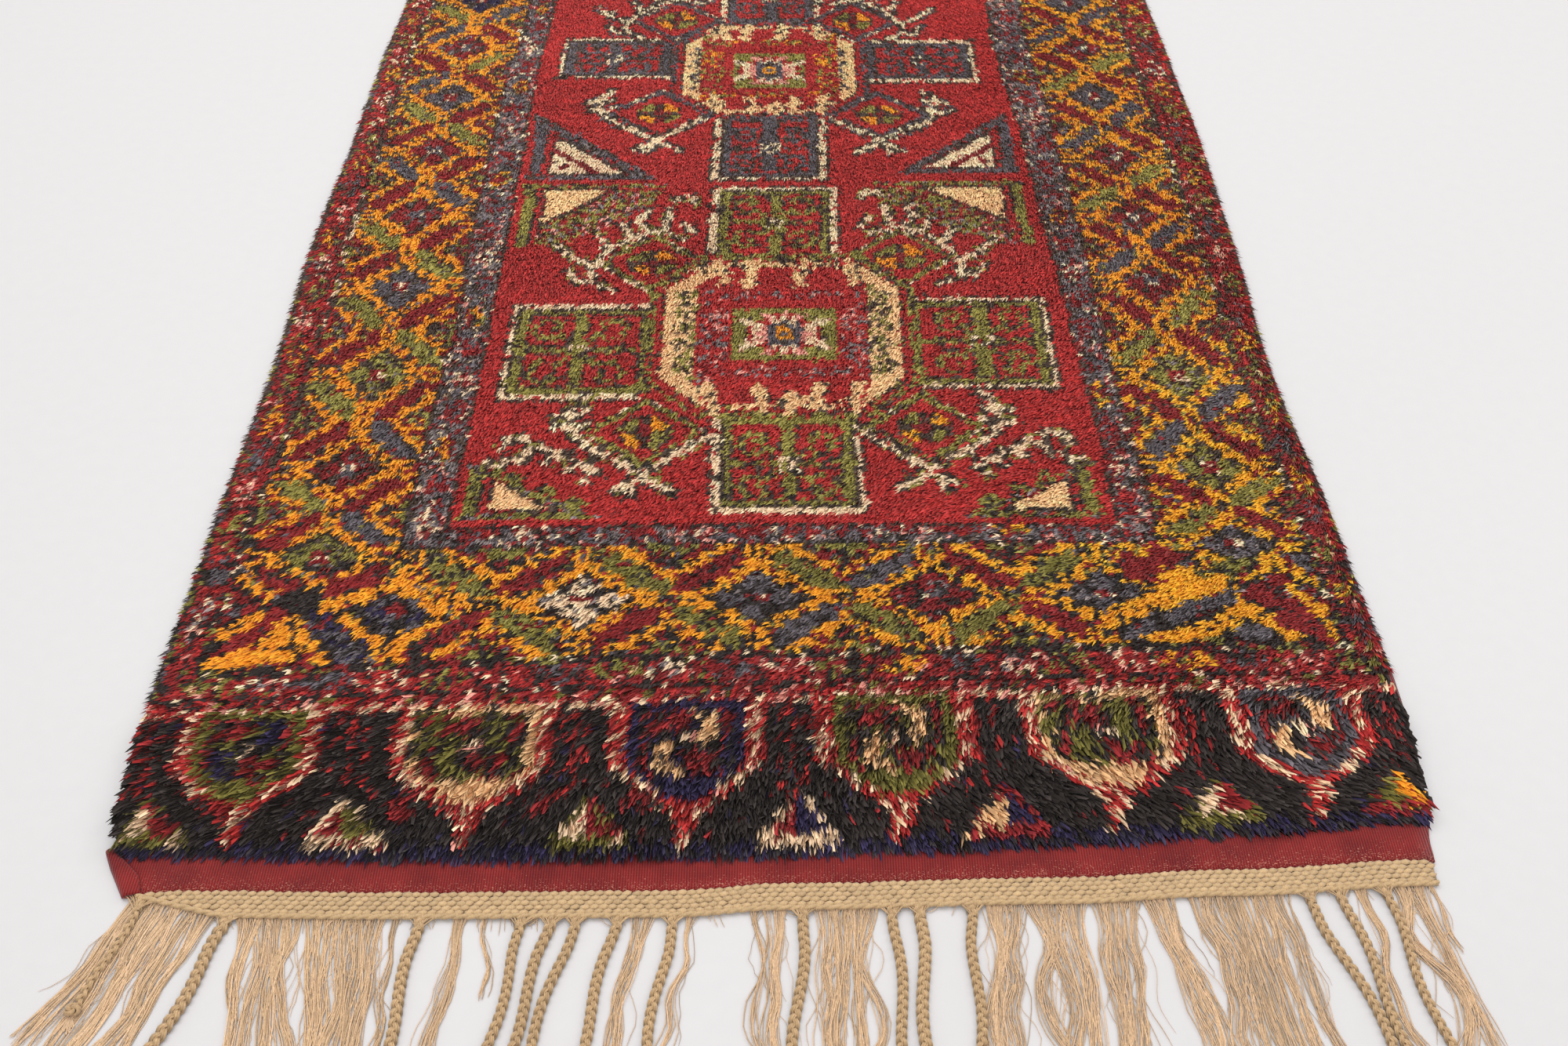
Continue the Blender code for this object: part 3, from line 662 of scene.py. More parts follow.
    def lattice(self, across: Array, along: Array, half: float, stars: dict[float, str],
                mask: Array, to_side: bool) -> None:
        """Knots the main border: diamonds in a gold lattice, with four leaves round each.

        Args:
            across: Each knot's place across the border, 0 at its middle.
            along: Each knot's place along it.
            half: Half the border's width.
            stars: The diamonds.
            mask: Which knots belong to the border.
            to_side: Whether the border runs along the rug's side, and not along its end.

        Below, a and b are a knot's places across and along its diamond, and d is its distance from the
        diamond's middle in stepped rings.
        """
        middles = np.array(list(stars))
        marked = np.array([wools(marks) for marks in stars.values()], dtype=np.int8)
        between = (middles[1:] + middles[:-1]) / 2
        number = np.searchsorted(between, along)
        before = np.concatenate(([middles[0] - between[0] + middles[0]], between))
        after = np.concatenate((between, [2 * middles[-1] - between[-1]]))
        star = middles[number]
        gap = np.where(along < star, star - before[number], after[number] - star)
        b = (along - star) / gap * 15.5
        a = across * 16.0 / half
        wild, loose = self.chance.random(across.shape), self.chance.random(across.shape)
        aa, bb = abs(a), abs(b)
        stepped = abs(np.round(a / 2) * 2) + abs(np.round(b / 2) * 2)
        teeth = 1.2 * np.sign(np.sin((aa - bb) * 1.15 + 0.6 * np.sign(a * b)))
        d = 0.5 * stepped + 0.5 * (aa + bb * 0.94) + (wild - 0.5) * 1.5
        far, right = (b > 0, a > 0) if to_side else (a > 0, b > 0)
        quarter = np.where(far, np.where(right, 1, 0), np.where(right, 3, 2))
        out = self.chance.choice(wools("kcgso"), a.shape, p=(0.54, 0.24, 0.08, 0.07, 0.07)).astype(np.int8)
        heart, leaf = marked[number, 0], marked[number, 1 + quarter]
        chosen = (d > 13.2) & (d <= 19.6) & (aa > 2.4) & (bb > 3.4) & (loose < 0.88)
        out[chosen] = leaf[chosen]
        outer = (d + teeth * 0.5 > 20.3) & (d + teeth * 0.5 <= 23.4)
        out[outer & (wild < 0.84)] = Wool.GOLD
        beyond = (d > 24.4) & (aa > bb)
        out[beyond & (loose < 0.75)] = Wool.CRIMSON
        out[beyond & (d > 27.0) & (loose < 0.8)] = Wool.GREEN
        out[(d > 23.0) & (bb > 13.0) & (aa < 3.0)] = Wool.BLACK
        fan = (bb < 4.0) & (aa > 9.5) & (aa > 8.0 + bb)
        out[fan & (np.floor(b + 20.5) % 2 == 0) & (wild < 0.86)] = Wool.GOLD
        out[(aa >= 0.8) & (aa < 2.2) & (d > 11) & (bb > 10.5) & (wild < 0.84)] = Wool.GOLD
        thin = 0.15 * (self.row < 78)
        out[(d + teeth > 8.2 + thin) & (d + teeth <= 12.2 - thin) & (loose < 0.91)] = Wool.GOLD
        out[d <= 8.3] = Wool.BLACK
        petal = (d <= 7.6) & (abs(aa - 0.8 * bb) > 0.8)
        chosen = petal & (loose < 0.80)
        out[chosen] = heart[chosen]
        out[(d <= 7.6) & (loose > 0.92)] = Wool.GREY
        middle = (aa < 1.7) & (bb < 1.9)
        out[middle] = np.where(heart == Wool.CRIMSON, Wool.SLATE, Wool.CRIMSON)[middle]
        out[middle & (loose < 0.3)] = Wool.WHITE
        out[(self.row < 80) & (self.chance.random(a.shape) < 0.06)] = Wool.BLACK
        self.knots[mask] = out[mask]

    def corner_flames(self) -> None:
        """Knots the bold flames and hooks that fill the two near corners of the main border."""
        for mark, half, *points in NEAR_FLAMES:
            self.stroke(points, half, mark)
        near = (self.row > 43) & (self.row < 70) & ((self.column < 56) | (self.column > 188))
        near &= (self.column > 8) & (self.column < 236)
        self.mix(near & (self.knots == Wool.NAVY), "n34 s34 k32")
        flecks = near & (self.chance.random(self.knots.shape) < 0.07)
        self.mix(flecks, "k78 c22")

    def guards(self) -> None:
        """Knots the narrow borders inside and outside the main one, with their small flowers."""
        row, column = self.row, self.column
        left_main, left_inner = self.line(self.left_main), self.line(self.left_inner)
        field_left, field_right = self.line(self.field_left), self.line(self.field_right)
        right_main, right_thin = self.line(self.right_main), self.line(self.right_thin)
        inner = (column >= left_inner) & (column < right_main) & (row >= self.inner_row)
        inner &= ~((column >= field_left) & (column < field_right) & (row >= self.field_row))
        self.mix(inner, "s25 y32 c14 k19 w5 p5")
        for number, mark in enumerate("WCOCWCOSWCSOCWCOCWCOC"):
            at = 82.0 + 12.0 * number
            self.bloom(self.line_at(self.left_inner, at) + 5.0, at, 2.4, 4.0, mark)
            self.bloom(self.line_at(self.right_main, at) - 5.0, at + 6, 2.4, 4.0, "CWCOSC"[number % 6])
        for number, mark in enumerate("CWSCWCCSWCOSC"):
            self.bloom(58 + 11.5 * number, self.inner_row + 4.0, 4.4, 2.0, mark)
        lines = (column < left_inner + 1) | ((column >= field_left - 1) & (column < field_left))
        lines |= ((column >= field_right) & (column < field_right + 1)) | (column >= right_main - 1)
        lines &= inner
        lines |= (row == self.inner_row) & (column >= left_inner) & (column < right_main)
        lines |= (row == self.field_row - 1) & (column >= field_left) & (column < field_right)
        self.mix(lines, "k70 w8 c22")
        outer = (column < left_main - 1) | (column > right_thin) | (row < self.thin_row)
        outer &= row >= self.guard_row
        self.mix(outer, "r22 c50 k20 g5 p3")
        for number, mark in enumerate("WSLPSOLOPLWOPSOLPWOPLOPS"):
            self.bloom(self.edge + 3.0, 58 + 11.7 * number, 2.5, 4.6, mark)
        for number, mark in enumerate("SOLCOSOLOCLPSLOLCLOWSLOC"):
            at = 50 + 11.7 * number
            self.bloom((self.line_at(self.right_thin, at) + self.columns) / 2, at, 2.6, 4.6, mark)
        for number, mark in enumerate("LWSPLPSLWSPLOSWLPOSPL"):
            self.bloom(11 + 11.3 * number, self.guard_row + 3.4, 5.0, 2.1, mark)
        thin = (abs(column - left_main + 1) < 0.9) | (abs(column - right_thin - 0.5) < 0.9)
        thin &= row >= self.thin_row
        thin |= ((row >= self.thin_row) & (row < self.main_row) & (column >= left_main)
                 & (column < right_thin))
        self.mix(thin, "k64 w8 c20 g8")
        self.mix((row <= self.guard_row) & (row > self.guard_row - 1) & (column > 1), "k62 w8 c30")
        edge = ((column < self.edge) | (column >= self.columns - 1)) & (row >= self.outline_row)
        self.mix(edge, "k55 s13 g12 c20")

    def panel(self) -> None:
        """Knots the dark panel with its shields, dotted zigzags and small triangles."""
        row, chance = self.row, self.chance
        self.mix(row < self.outline_row, "k96 n2 c2")
        self.mix(row < 2.5, "n62 k38")
        self.mix((row >= self.outline_row - 2) & (row < self.outline_row), "w44 p10 r34 c12")
        self.mix((row >= self.outline_row) & (row < self.guard_row), "r26 c36 p10 k20 g8")
        for shield in SHIELDS:
            self.shield(shield)
        for middle in ZIGZAGS:
            for r in range(13, 34):
                swing = 1.6 if (r // 3) % 2 else -1.6
                for offset in (-1.3, 1.3):
                    c = round(middle + swing + offset)
                    if 0 <= c < self.columns and chance.random() < 0.78:
                        self.knots[r, c] = chance.choice((Wool.CRIMSON, Wool.RED))
        for middle, low in KNOBS:
            self.mix(np.hypot(self.column - middle, row - low) < 3.0, "c55 k45")
        for middle, marks in PEAKS.items():
            self.peak(middle, *wools(marks))

    def shield(self, shield: Shield) -> None:
        """Knots one shield, which hangs from the outline and tapers to a tail."""
        dx = self.column - shield.middle
        depth = self.outline_row - 2 - self.row
        half = np.where(depth <= 15, shield.half, shield.half - (depth - 15) * (shield.half / 14.0))
        inset = half - abs(dx)
        body = (depth >= 0) & (depth <= 27) & (inset >= 0)
        self.mix(body, "r72 c16 w12")
        beads = body & (np.mod(depth + 0.6 * abs(dx), 3.8) < 1.9) & (inset > 0.5) & (inset < 3.0)
        self.mix(beads, "w76 p8 r16")
        band = body & (inset >= 3.5) & (depth < 22.5) & (half > 4.8)
        self.fill(band, shield.band)
        if shield.band == Wool.CREAM:
            self.mix(band & (dx < shield.half * 0.25) & (depth < 13), "g34 k30 t36")
        core = body & (inset >= 5.2) & (depth > 1.5) & (depth < 18.0) & (half > 7.0)
        self.mix(core, "k62 b38", b=Wool.GREEN if shield.band == Wool.CREAM else shield.band)
        down = depth - 9.5
        ring = np.hypot(dx * 0.95, down)
        turn = np.arctan2(down, dx) + ring * 0.20
        arm = np.cos(2 * turn - 0.9)
        self.fill(core & (ring > 2.6) & (ring < 7.8) & (arm > 0.60), shield.scroll)
        self.fill(core & (ring > 2.8) & (ring < 7.2) & (arm < -0.60), Wool.CRIMSON)
        self.fill(core & (ring > 6.2) & (abs(arm) < 0.32), Wool.CRIMSON)
        self.mix(core & (ring <= 2.0), "w40 k40 p20")
        self.fill(core & (self.chance.random(self.knots.shape) < 0.12), Wool.BLACK)
        tail = (depth > 24) & (depth <= 32) & (abs(dx + 0.25 * (depth - 28)) < 2.5 - 0.22 * (depth - 26))
        self.mix(tail, "r66 p6 w28")

    def peak(self, middle: float, left: Wool, right: Wool, rim: Wool) -> None:
        """Knots one small triangle in its rim."""
        dx = self.column - middle
        height = self.row - 2.0
        half = 7.8 - height * 0.72
        body = (height >= 0) & (height <= 9.5) & (abs(dx) <= half)
        self.fill(body & (dx < 0), left)
        self.fill(body & (dx >= 0), right)
        foot = height < 1.6
        flank = ~foot & (abs(dx) > half - 1.6)
        self.mix(body & foot, "m90 a10", m=rim, a=left)
        self.mix(body & flank & (dx < 0), "m75 a25", m=rim, a=left)
        self.mix(body & flank & (dx >= 0), "m45 b55", m=rim, b=right)

    def unsettle(self) -> None:
        """Lets some knots take a neighbour's wool, as hand knots do at the edges of a figure."""
        aside = self.chance.integers(-1, 2, self.knots.shape)
        ahead = self.chance.integers(-1, 2, self.knots.shape)
        from_row = np.clip(self.row + ahead, 0, self.rows - 1).astype(int)
        from_column = np.clip(self.column + aside, 0, self.columns - 1).astype(int)
        taken = self.knots[from_row, from_column]
        moved = (self.chance.random(self.knots.shape) < self.unsettled) & (self.row >= self.outline_row - 2)
        self.knots[moved] = taken[moved]

    def draw(self) -> Array:
        """Knots the whole rug and returns the chart."""
        row, column = self.row, self.column
        for corner in CORNERS:
            self.corner(corner)
        for medallion in MEDALLIONS:
            self.medallion(medallion)
        left_main, left_inner = self.line(self.left_main), self.line(self.left_inner)
        right_main, right_thin = self.line(self.right_main), self.line(self.right_thin)
        side = (row >= self.inner_row - 4) & (column >= left_main) & (column < left_inner)
        self.lattice(column - (left_main + left_inner) / 2, row, 16.0, LEFT_STARS, side, True)
        side = (row >= self.inner_row - 4) & (column >= right_main) & (column < right_thin)
        self.lattice(column - (right_main + right_thin) / 2, row, 15.6, RIGHT_STARS, side, True)
        end = (row >= self.main_row) & (row < self.inner_row) & (column >= left_main) & (column < right_thin)
        end &= ~((row >= self.inner_row - 4) & ((column < left_inner) | (column >= right_main)))
        self.lattice(row - 59.5, column, 14.0, END_STARS, end, False)
        self.corner_flames()
        self.guards()
        self.panel()
        mirror = self.knots[::-1].copy()
        outside = row > self.rows - 1 - self.field_row
        self.knots[outside] = mirror[outside]
        self.unsettle()
        return self.knots


# Making meshes


def deselect_all() -> None:
    """Deselects every object and leaves edit mode, so that an operator acts on new work alone."""
    if bpy.context.object and bpy.context.object.mode != "OBJECT":
        bpy.ops.object.mode_set(mode="OBJECT")
    bpy.ops.object.select_all(action="DESELECT")


def mesh_piece(name: str, points: Array, faces: Array) -> bpy.types.Object:
    """Makes an object whose faces all have the same number of corners.

    Args:
        name: The piece's name.
        points: Its corners, in metres.
        faces: The corners of each face.

    Returns:
        The new object, smooth all over.
    """
    count, sides = faces.shape
    mesh = bpy.data.meshes.new(name)
    mesh.vertices.add(len(points))
    mesh.vertices.foreach_set("co", np.ascontiguousarray(points, dtype=np.float32).ravel())
    mesh.loops.add(count * sides)
    mesh.loops.foreach_set("vertex_index", faces.astype(np.int32).ravel())
    mesh.polygons.add(count)
    mesh.polygons.foreach_set("loop_start", np.arange(0, count * sides, sides, dtype=np.int32))
    mesh.polygons.foreach_set("use_smooth", np.ones(count, dtype=bool))
    mesh.update(calc_edges=True)
    mesh.validate()
    piece = bpy.data.objects.new(name, mesh)
    bpy.context.scene.collection.objects.link(piece)
    return piece


def paint_points(piece: bpy.types.Object, name: str, colours: Array) -> None:
    """Gives a piece one colour for each of its points."""
    layer = piece.data.color_attributes.new(name, "FLOAT_COLOR", "POINT")
    full = np.ones((len(colours), 4), dtype=np.float32)
    full[:, :3] = colours
    layer.data.foreach_set("color", full.ravel())


def lay_out(piece: bpy.types.Object, uv: Array) -> None:
    """Gives a piece its flat layout, one place for each of its points."""
    corners = np.empty(len(piece.data.loops), dtype=np.int32)
    piece.data.loops.foreach_get("vertex_index", corners)
    layer = piece.data.uv_layers.new(name="OFBake")
    layer.data.foreach_set("uv", uv[corners].astype(np.float32).ravel())


def settle(piece: bpy.types.Object, material: bpy.types.Material) -> None:
    """Finishes a piece: its material, the body that it rides on, and a log line of its triangles."""
    piece.data.materials.clear()
    piece.data.materials.append(material)
    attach(piece, BODY)
    log.info("%s: %d triangles", piece.name, sum(len(p.vertices) - 2 for p in piece.data.polygons))


def take_active() -> tuple[Array, Array]:
    """Reads the points and faces of the shape that was just modelled, and removes its object."""
    bpy.ops.object.mode_set(mode="OBJECT")
    thing = bpy.context.object
    points = np.array([vert.co[:] for vert in thing.data.vertices])
    faces = np.array([list(face.vertices) for face in thing.data.polygons])
    bpy.data.objects.remove(thing, do_unlink=True)
    return points, faces


@dataclass
class LockShape:
    """One lock, modelled once: places across (-0.5 to 0.5) and along (0 to 1), and its triangles."""

    across: Array
    along: Array
    triangles: Array

    @classmethod
    def tufted(cls, outline: tuple) -> "LockShape":
        """Models a cut knot as a flat blade with a toothed end.

        Args:
            outline: Its corners, as places across and along, from the left root round to the left side.
        """
        deselect_all()
        bpy.ops.mesh.primitive_circle_add(vertices=len(outline), fill_type="NGON")
        for vert, (x, y) in zip(bpy.context.object.data.vertices, outline):
            vert.co = (x, y, 0.0)
        bpy.ops.object.mode_set(mode="EDIT")
        bpy.ops.mesh.select_all(action="SELECT")
        bpy.ops.mesh.quads_convert_to_tris(ngon_method="CLIP")
        bpy.ops.mesh.normals_make_consistent(inside=False)
        points, triangles = take_active()
        return cls(points[:, 0], points[:, 1], triangles)


FIELD_TUFT = ((-0.50, 0.0), (0.50, 0.0), (0.42, 0.92), (0.04, 0.56), (-0.34, 1.05))
SHAG_TUFT = ((-0.45, 0.0), (0.45, 0.0), (0.55, 0.50), (0.22, 1.05), (-0.34, 0.94), (-0.55, 0.46))


@dataclass
class Locks:
    """Many locks laid at once: an array of values for each of them."""

    x: Array
    y: Array
    root: float
    way: Array
    length: Array
    width: Array
    lift: Array
    droop: Array
    wave: Array
    phase: Array
    roll: Array
    colour: Array
    # How light a dark lock is painted at its root, as painted shade; pale wools are painted less dark.
    painted_root_light: float = 0.35
    narrow: float = 0.25
    ragged: float = 0.0
    seed: int = 3

    def lay(self, shape: LockShape) -> tuple[Array, Array, Array, Array]:
        """Copies one lock over all the places.

        Args:
            shape: The lock.

        Returns:
            The points, triangles, colours and flat layout of all the copies.
        """
        chance = np.random.default_rng(self.seed)
        count, size = len(self.x), shape.across.size
        wild = chance.uniform(-1.0, 1.0, (3, count, size)) * (shape.along[None, None, :] > 0.3)
        a = shape.across[None, :] + self.ragged * 0.34 * wild[0]
        b = shape.along[None, :] * (1.0 + self.ragged * 0.22 * wild[1])
        length, width = self.length[:, None], self.width[:, None]
        forward = np.stack((np.sin(self.way), -np.cos(self.way)), axis=1)[:, None, :]
        aside = np.stack((-np.cos(self.way), -np.sin(self.way)), axis=1)[:, None, :]
        out = length * b
        off = width * a * (1.0 - self.narrow * b)
        off = off + self.wave[:, None] * np.sin(self.phase[:, None] + 4.5 * b) * b
        start = np.stack((self.x, self.y), axis=1)[:, None, :]
        flat = start + forward * out[..., None] + aside * off[..., None]
        high = self.root + self.lift[:, None] * (1.0 - (1.0 - np.minimum(b, 1.0)) ** 2)
        tilt = np.tan(np.clip(self.roll, -0.9, 0.9))[:, None]
        high = high - self.droop[:, None] * b ** 3 + off * tilt * (0.4 + 0.6 * b)
        high = np.maximum(high + self.ragged * 0.0005 * wild[2], 0.0022)
        points = np.concatenate((flat, high[..., None]), axis=2).reshape(-1, 3)
        triangles = (shape.triangles[None] + (np.arange(count) * size)[:, None, None]).reshape(-1, 3)
        # Painted shade and light: each lock is painted darker towards its root, less so in pale wools, and
        # lighter towards its tip, with a warm tint in the painted shade.
        pale = unit(self.colour.mean(axis=1) * 2.2)[:, None]
        low = self.painted_root_light + (1.0 - self.painted_root_light) * pale
        light = low + (1.0 - low) * unit(b * 1.25) ** 0.8 + 0.14 * b
        light = light * (1.0 + self.ragged * 0.10 * wild[0])
        painted_shade_tint = np.array(ROOT_SHADE)[None, None, :] * unit(1.0 - light)[..., None] * 0.35
        colours = (self.colour[:, None, :] * light[..., None] + painted_shade_tint).reshape(-1, 3)
        return points, triangles, colours, self.cells(shape)

    def cells(self, shape: LockShape) -> Array:
        """Returns a flat layout with a cell for each lock."""
        count = len(self.x)
        side = math.ceil(math.sqrt(count))
        number = np.arange(count)
        cell_x, cell_y = (number % side)[:, None], (number // side)[:, None]
        u = (cell_x + 0.1 + 0.8 * (shape.across[None, :] + 0.5)) / side
        v = (cell_y + 0.1 + 0.8 * shape.along[None, :] / shape.along.max()) / side
        return np.stack((u, v), axis=2).reshape(-1, 2)


# Finishes


class Graph:
    """A short hand for adding nodes to a material or group and joining them."""

    def __init__(self, tree: bpy.types.NodeTree) -> None:
        """Starts on one node tree."""
        self.tree = tree

    def add(self, kind: str, **settings) -> bpy.types.Node:
        """Adds a node.

        Args:
            kind: Its type, without the start that all shader nodes share.
            settings: Properties, or under "values" a dict of socket names and their values or sources.

        Returns:
            The node.
        """
        values = settings.pop("values", {})
        node = self.tree.nodes.new("ShaderNode" + kind)
        for name, value in settings.items():
            setattr(node, name, value)
        for name, value in values.items():
            socket = node.inputs[name]
            if isinstance(value, bpy.types.NodeSocket):
                self.tree.links.new(value, socket)
            else:
                socket.default_value = value
        return node

    def math(self, what: str, first, second=0.0) -> bpy.types.NodeSocket:
        """Adds a sum and returns its result."""
        return self.add("Math", operation=what, values={0: first, 1: second}).outputs[0]

    def ranged(self, value, low: float, high: float, to_low: float = 0.0, to_high: float = 1.0):
        """Adds a clamped change of range and returns its result."""
        values = {"Value": value, "From Min": low, "From Max": high, "To Min": to_low, "To Max": to_high}
        return self.add("MapRange", clamp=True, values=values).outputs[0]

    def mixed(self, share, first, second, blend: str = "MIX") -> bpy.types.NodeSocket:
        """Adds a mix of two colours and returns it."""
        node = self.tree.nodes.new("ShaderNodeMix")
        node.data_type = "RGBA"
        node.blend_type = blend
        for number, value in ((0, share), (6, first), (7, second)):
            socket = node.inputs[number]
            if isinstance(value, bpy.types.NodeSocket):
                self.tree.links.new(value, socket)
            else:
                socket.default_value = value if number == 0 or len(value) == 4 else (*value, 1.0)
        return node.outputs[2]

    def noise(self, place, scale: float, detail: float, roughness: float = 0.5) -> bpy.types.NodeSocket:
        """Adds a noise and returns it."""
        return self.add("TexNoise", values={
            "Vector": place, "Scale": scale, "Detail": detail, "Roughness": roughness}).outputs["Fac"]

    def toned(self, colour, light) -> bpy.types.NodeSocket:
        """Makes a colour lighter or darker and returns it."""
        tone = self.add("CombineColor", values={0: light, 1: light, 2: light}).outputs[0]
        return self.mixed(1.0, colour, tone, "MULTIPLY")

    def dress(self, shader: bpy.types.Node, colour, height, strength: float, distance: float) -> None:
        """Joins a colour and a bump to a shader."""
        values = {"Strength": strength, "Distance": distance, "Height": height}
        bump = self.add("Bump", values=values)
        self.tree.links.new(colour, shader.inputs["Base Color"])
        self.tree.links.new(bump.outputs[0], shader.inputs["Normal"])


def new_material(name: str, roughness: float, sheen: float, specular: float) -> tuple:
    """Starts a material with its constant sockets set, and returns it with its graph and shader."""
    material = bpy.data.materials.new(name)
    material.use_nodes = True
    shader = material.node_tree.nodes["Principled BSDF"]
    for socket, value in (("Roughness", roughness), ("Sheen Weight", sheen), ("Sheen Roughness", 0.45),
                          ("Specular IOR Level", specular)):
        shader.inputs[socket].default_value = value
    return material, Graph(material.node_tree), shader


def fibre_group() -> bpy.types.NodeTree:
    """Makes the node group for spun fibre: fine streaks along the yarn, as a mask and a height."""
    tree = bpy.data.node_groups.new("Spun fibre", "ShaderNodeTree")
    for name, value in (("Across", 400.0), ("Along", 60.0)):
        socket = tree.interface.new_socket(name, in_out="INPUT", socket_type="NodeSocketFloat")
        socket.default_value = value
    tree.interface.new_socket("Place", in_out="INPUT", socket_type="NodeSocketVector")
    tree.interface.new_socket("Streaks", in_out="OUTPUT", socket_type="NodeSocketFloat")
    graph = Graph(tree)
    start, end = tree.nodes.new("NodeGroupInput"), tree.nodes.new("NodeGroupOutput")
    parts = graph.add("SeparateXYZ", values={"Vector": start.outputs["Place"]})
    across = graph.math("MULTIPLY", parts.outputs[0], start.outputs["Across"])
    along = graph.math("MULTIPLY", parts.outputs[1], start.outputs["Along"])
    place = graph.add("CombineXYZ", values={0: across, 1: along})
    tree.links.new(graph.noise(place.outputs[0], 1.0, 3.0, 0.6), end.inputs["Streaks"])
    return tree


@dataclass(frozen=True)
class PileFinish:
    """Dyed knotted wool, whose colour lies on each lock's points, with painted shade at the roots and
    painted light at the tips and across the rug.
    """

    name: str
    cells_across: int
    streaks_across: float = 5.0
    streaks_along: float = 1.2
    bump: float = 0.08
    depth: float = 0.0006

    def build(self, fibre: bpy.types.NodeTree) -> bpy.types.Material:
        """Makes the material, with the group for spun fibre."""
        material, graph, shader = new_material(self.name, 0.9, 0.08, 0.2)
        shader.inputs["Sheen Tint"].default_value = (1.0, 0.9, 0.85, 1.0)
        place = graph.add("UVMap", uv_map="OFBake").outputs[0]
        streaks = graph.add("Group", node_tree=fibre, values={
            "Place": place, "Across": self.cells_across * self.streaks_across,
            "Along": self.cells_across * self.streaks_along}).outputs[0]
        # The colour attribute holds each lock's wool colour with its painted shade and painted light.
        dye_and_painted_light = graph.add("Attribute", attribute_name="dye_and_painted_light").outputs["Color"]
        colour = graph.toned(dye_and_painted_light, graph.ranged(streaks, 0.28, 0.72, 0.72, 1.22))
        graph.dress(shader, colour, streaks, self.bump, self.depth)
        return material


@dataclass(frozen=True)
class WeaveFinish:
    """The weft-faced red ground: fine ribs over the warps, with specks of warp near the band.
    Its colour is painted darker in the valleys between the ribs, as shade.
    """

    rib_pitch: float = 0.0024
    weft_pitch: float = 0.0011
    bump: float = 0.7
    depth: float = 0.0005
    red: tuple[float, float, float] = linear(150, 44, 42)
    deep_red: tuple[float, float, float] = linear(118, 30, 32)
    warp: tuple[float, float, float] = linear(214, 150, 126)

    def build(self) -> bpy.types.Material:
        """Makes the material."""
        material, graph, shader = new_material("weft_faced_ground", 0.9, 0.2, 0.2)
        place = graph.add("TexCoord").outputs["Object"]
        parts = graph.add("SeparateXYZ", values={"Vector": place})
        ribs = graph.math("SINE", graph.math("MULTIPLY", parts.outputs[0], 2 * math.pi / self.rib_pitch))
        wefts = graph.math("SINE", graph.math("MULTIPLY", parts.outputs[1], 2 * math.pi / self.weft_pitch))
        patch = graph.noise(place, 26.0, 4.0, 0.6)
        wide = graph.add("Mapping", values={"Vector": place, "Scale": (0.6, 1.6, 1.0)}).outputs[0]
        dots = graph.noise(wide, 760.0, 1.0)
        long = graph.add("Mapping", values={"Vector": place, "Scale": (4.0, 190.0, 1.0)}).outputs[0]
        streaks = graph.noise(long, 1.0, 2.0)
        bare = graph.add("Attribute", attribute_name="bareness").outputs["Fac"]
        ground = graph.mixed(graph.ranged(patch, 0.3, 0.7), self.deep_red, self.red)
        # Painted shade: the ground painted darker in the valleys between the ribs.
        ground = graph.toned(ground, graph.ranged(ribs, -1.0, 0.5, 0.46, 1.06))
        limit = graph.ranged(bare, 0.30, 1.0, 0.85, 0.655)
        dots = graph.math("ADD", dots, graph.math("MULTIPLY", streaks, 0.10))
        speck = graph.math("GREATER_THAN", dots, limit)
        colour = graph.mixed(graph.math("MULTIPLY", speck, 0.65), ground, self.warp)
        height = graph.math("ADD", graph.math("MULTIPLY", ribs, 0.5), graph.math("MULTIPLY", wefts, 0.25))
        graph.dress(shader, colour, height, self.bump, self.depth)
        return material


@dataclass(frozen=True)
class YarnFinish:
    """Undyed warp yarn, its colour on each point, with painted shade under and between the stitches,
    in the plaits' creases and where the yarns leave the band.
    """

    name: str = "warp_yarn_plain"
    across: float = 900.0
    along: float = 420.0
    bump: float = 0.5
    depth: float = 0.0006

    def build(self, fibre: bpy.types.NodeTree) -> bpy.types.Material:
        """Makes the material, with the group for spun fibre."""
        material, graph, shader = new_material(self.name, 0.85, 0.3, 0.25)
        place = graph.add("TexCoord").outputs["Object"]
        streaks = graph.add("Group", node_tree=fibre, values={
            "Place": place, "Across": self.across, "Along": self.along}).outputs[0]
        # The colour attribute holds the yarn's colour with its painted shade.
        dye_and_painted_light = graph.add("Attribute", attribute_name="dye_and_painted_light").outputs["Color"]
        colour = graph.toned(dye_and_painted_light, graph.ranged(streaks, 0.3, 0.7, 0.78, 1.14))
        graph.dress(shader, colour, streaks, self.bump, self.depth)
        return material


# The rug's parts


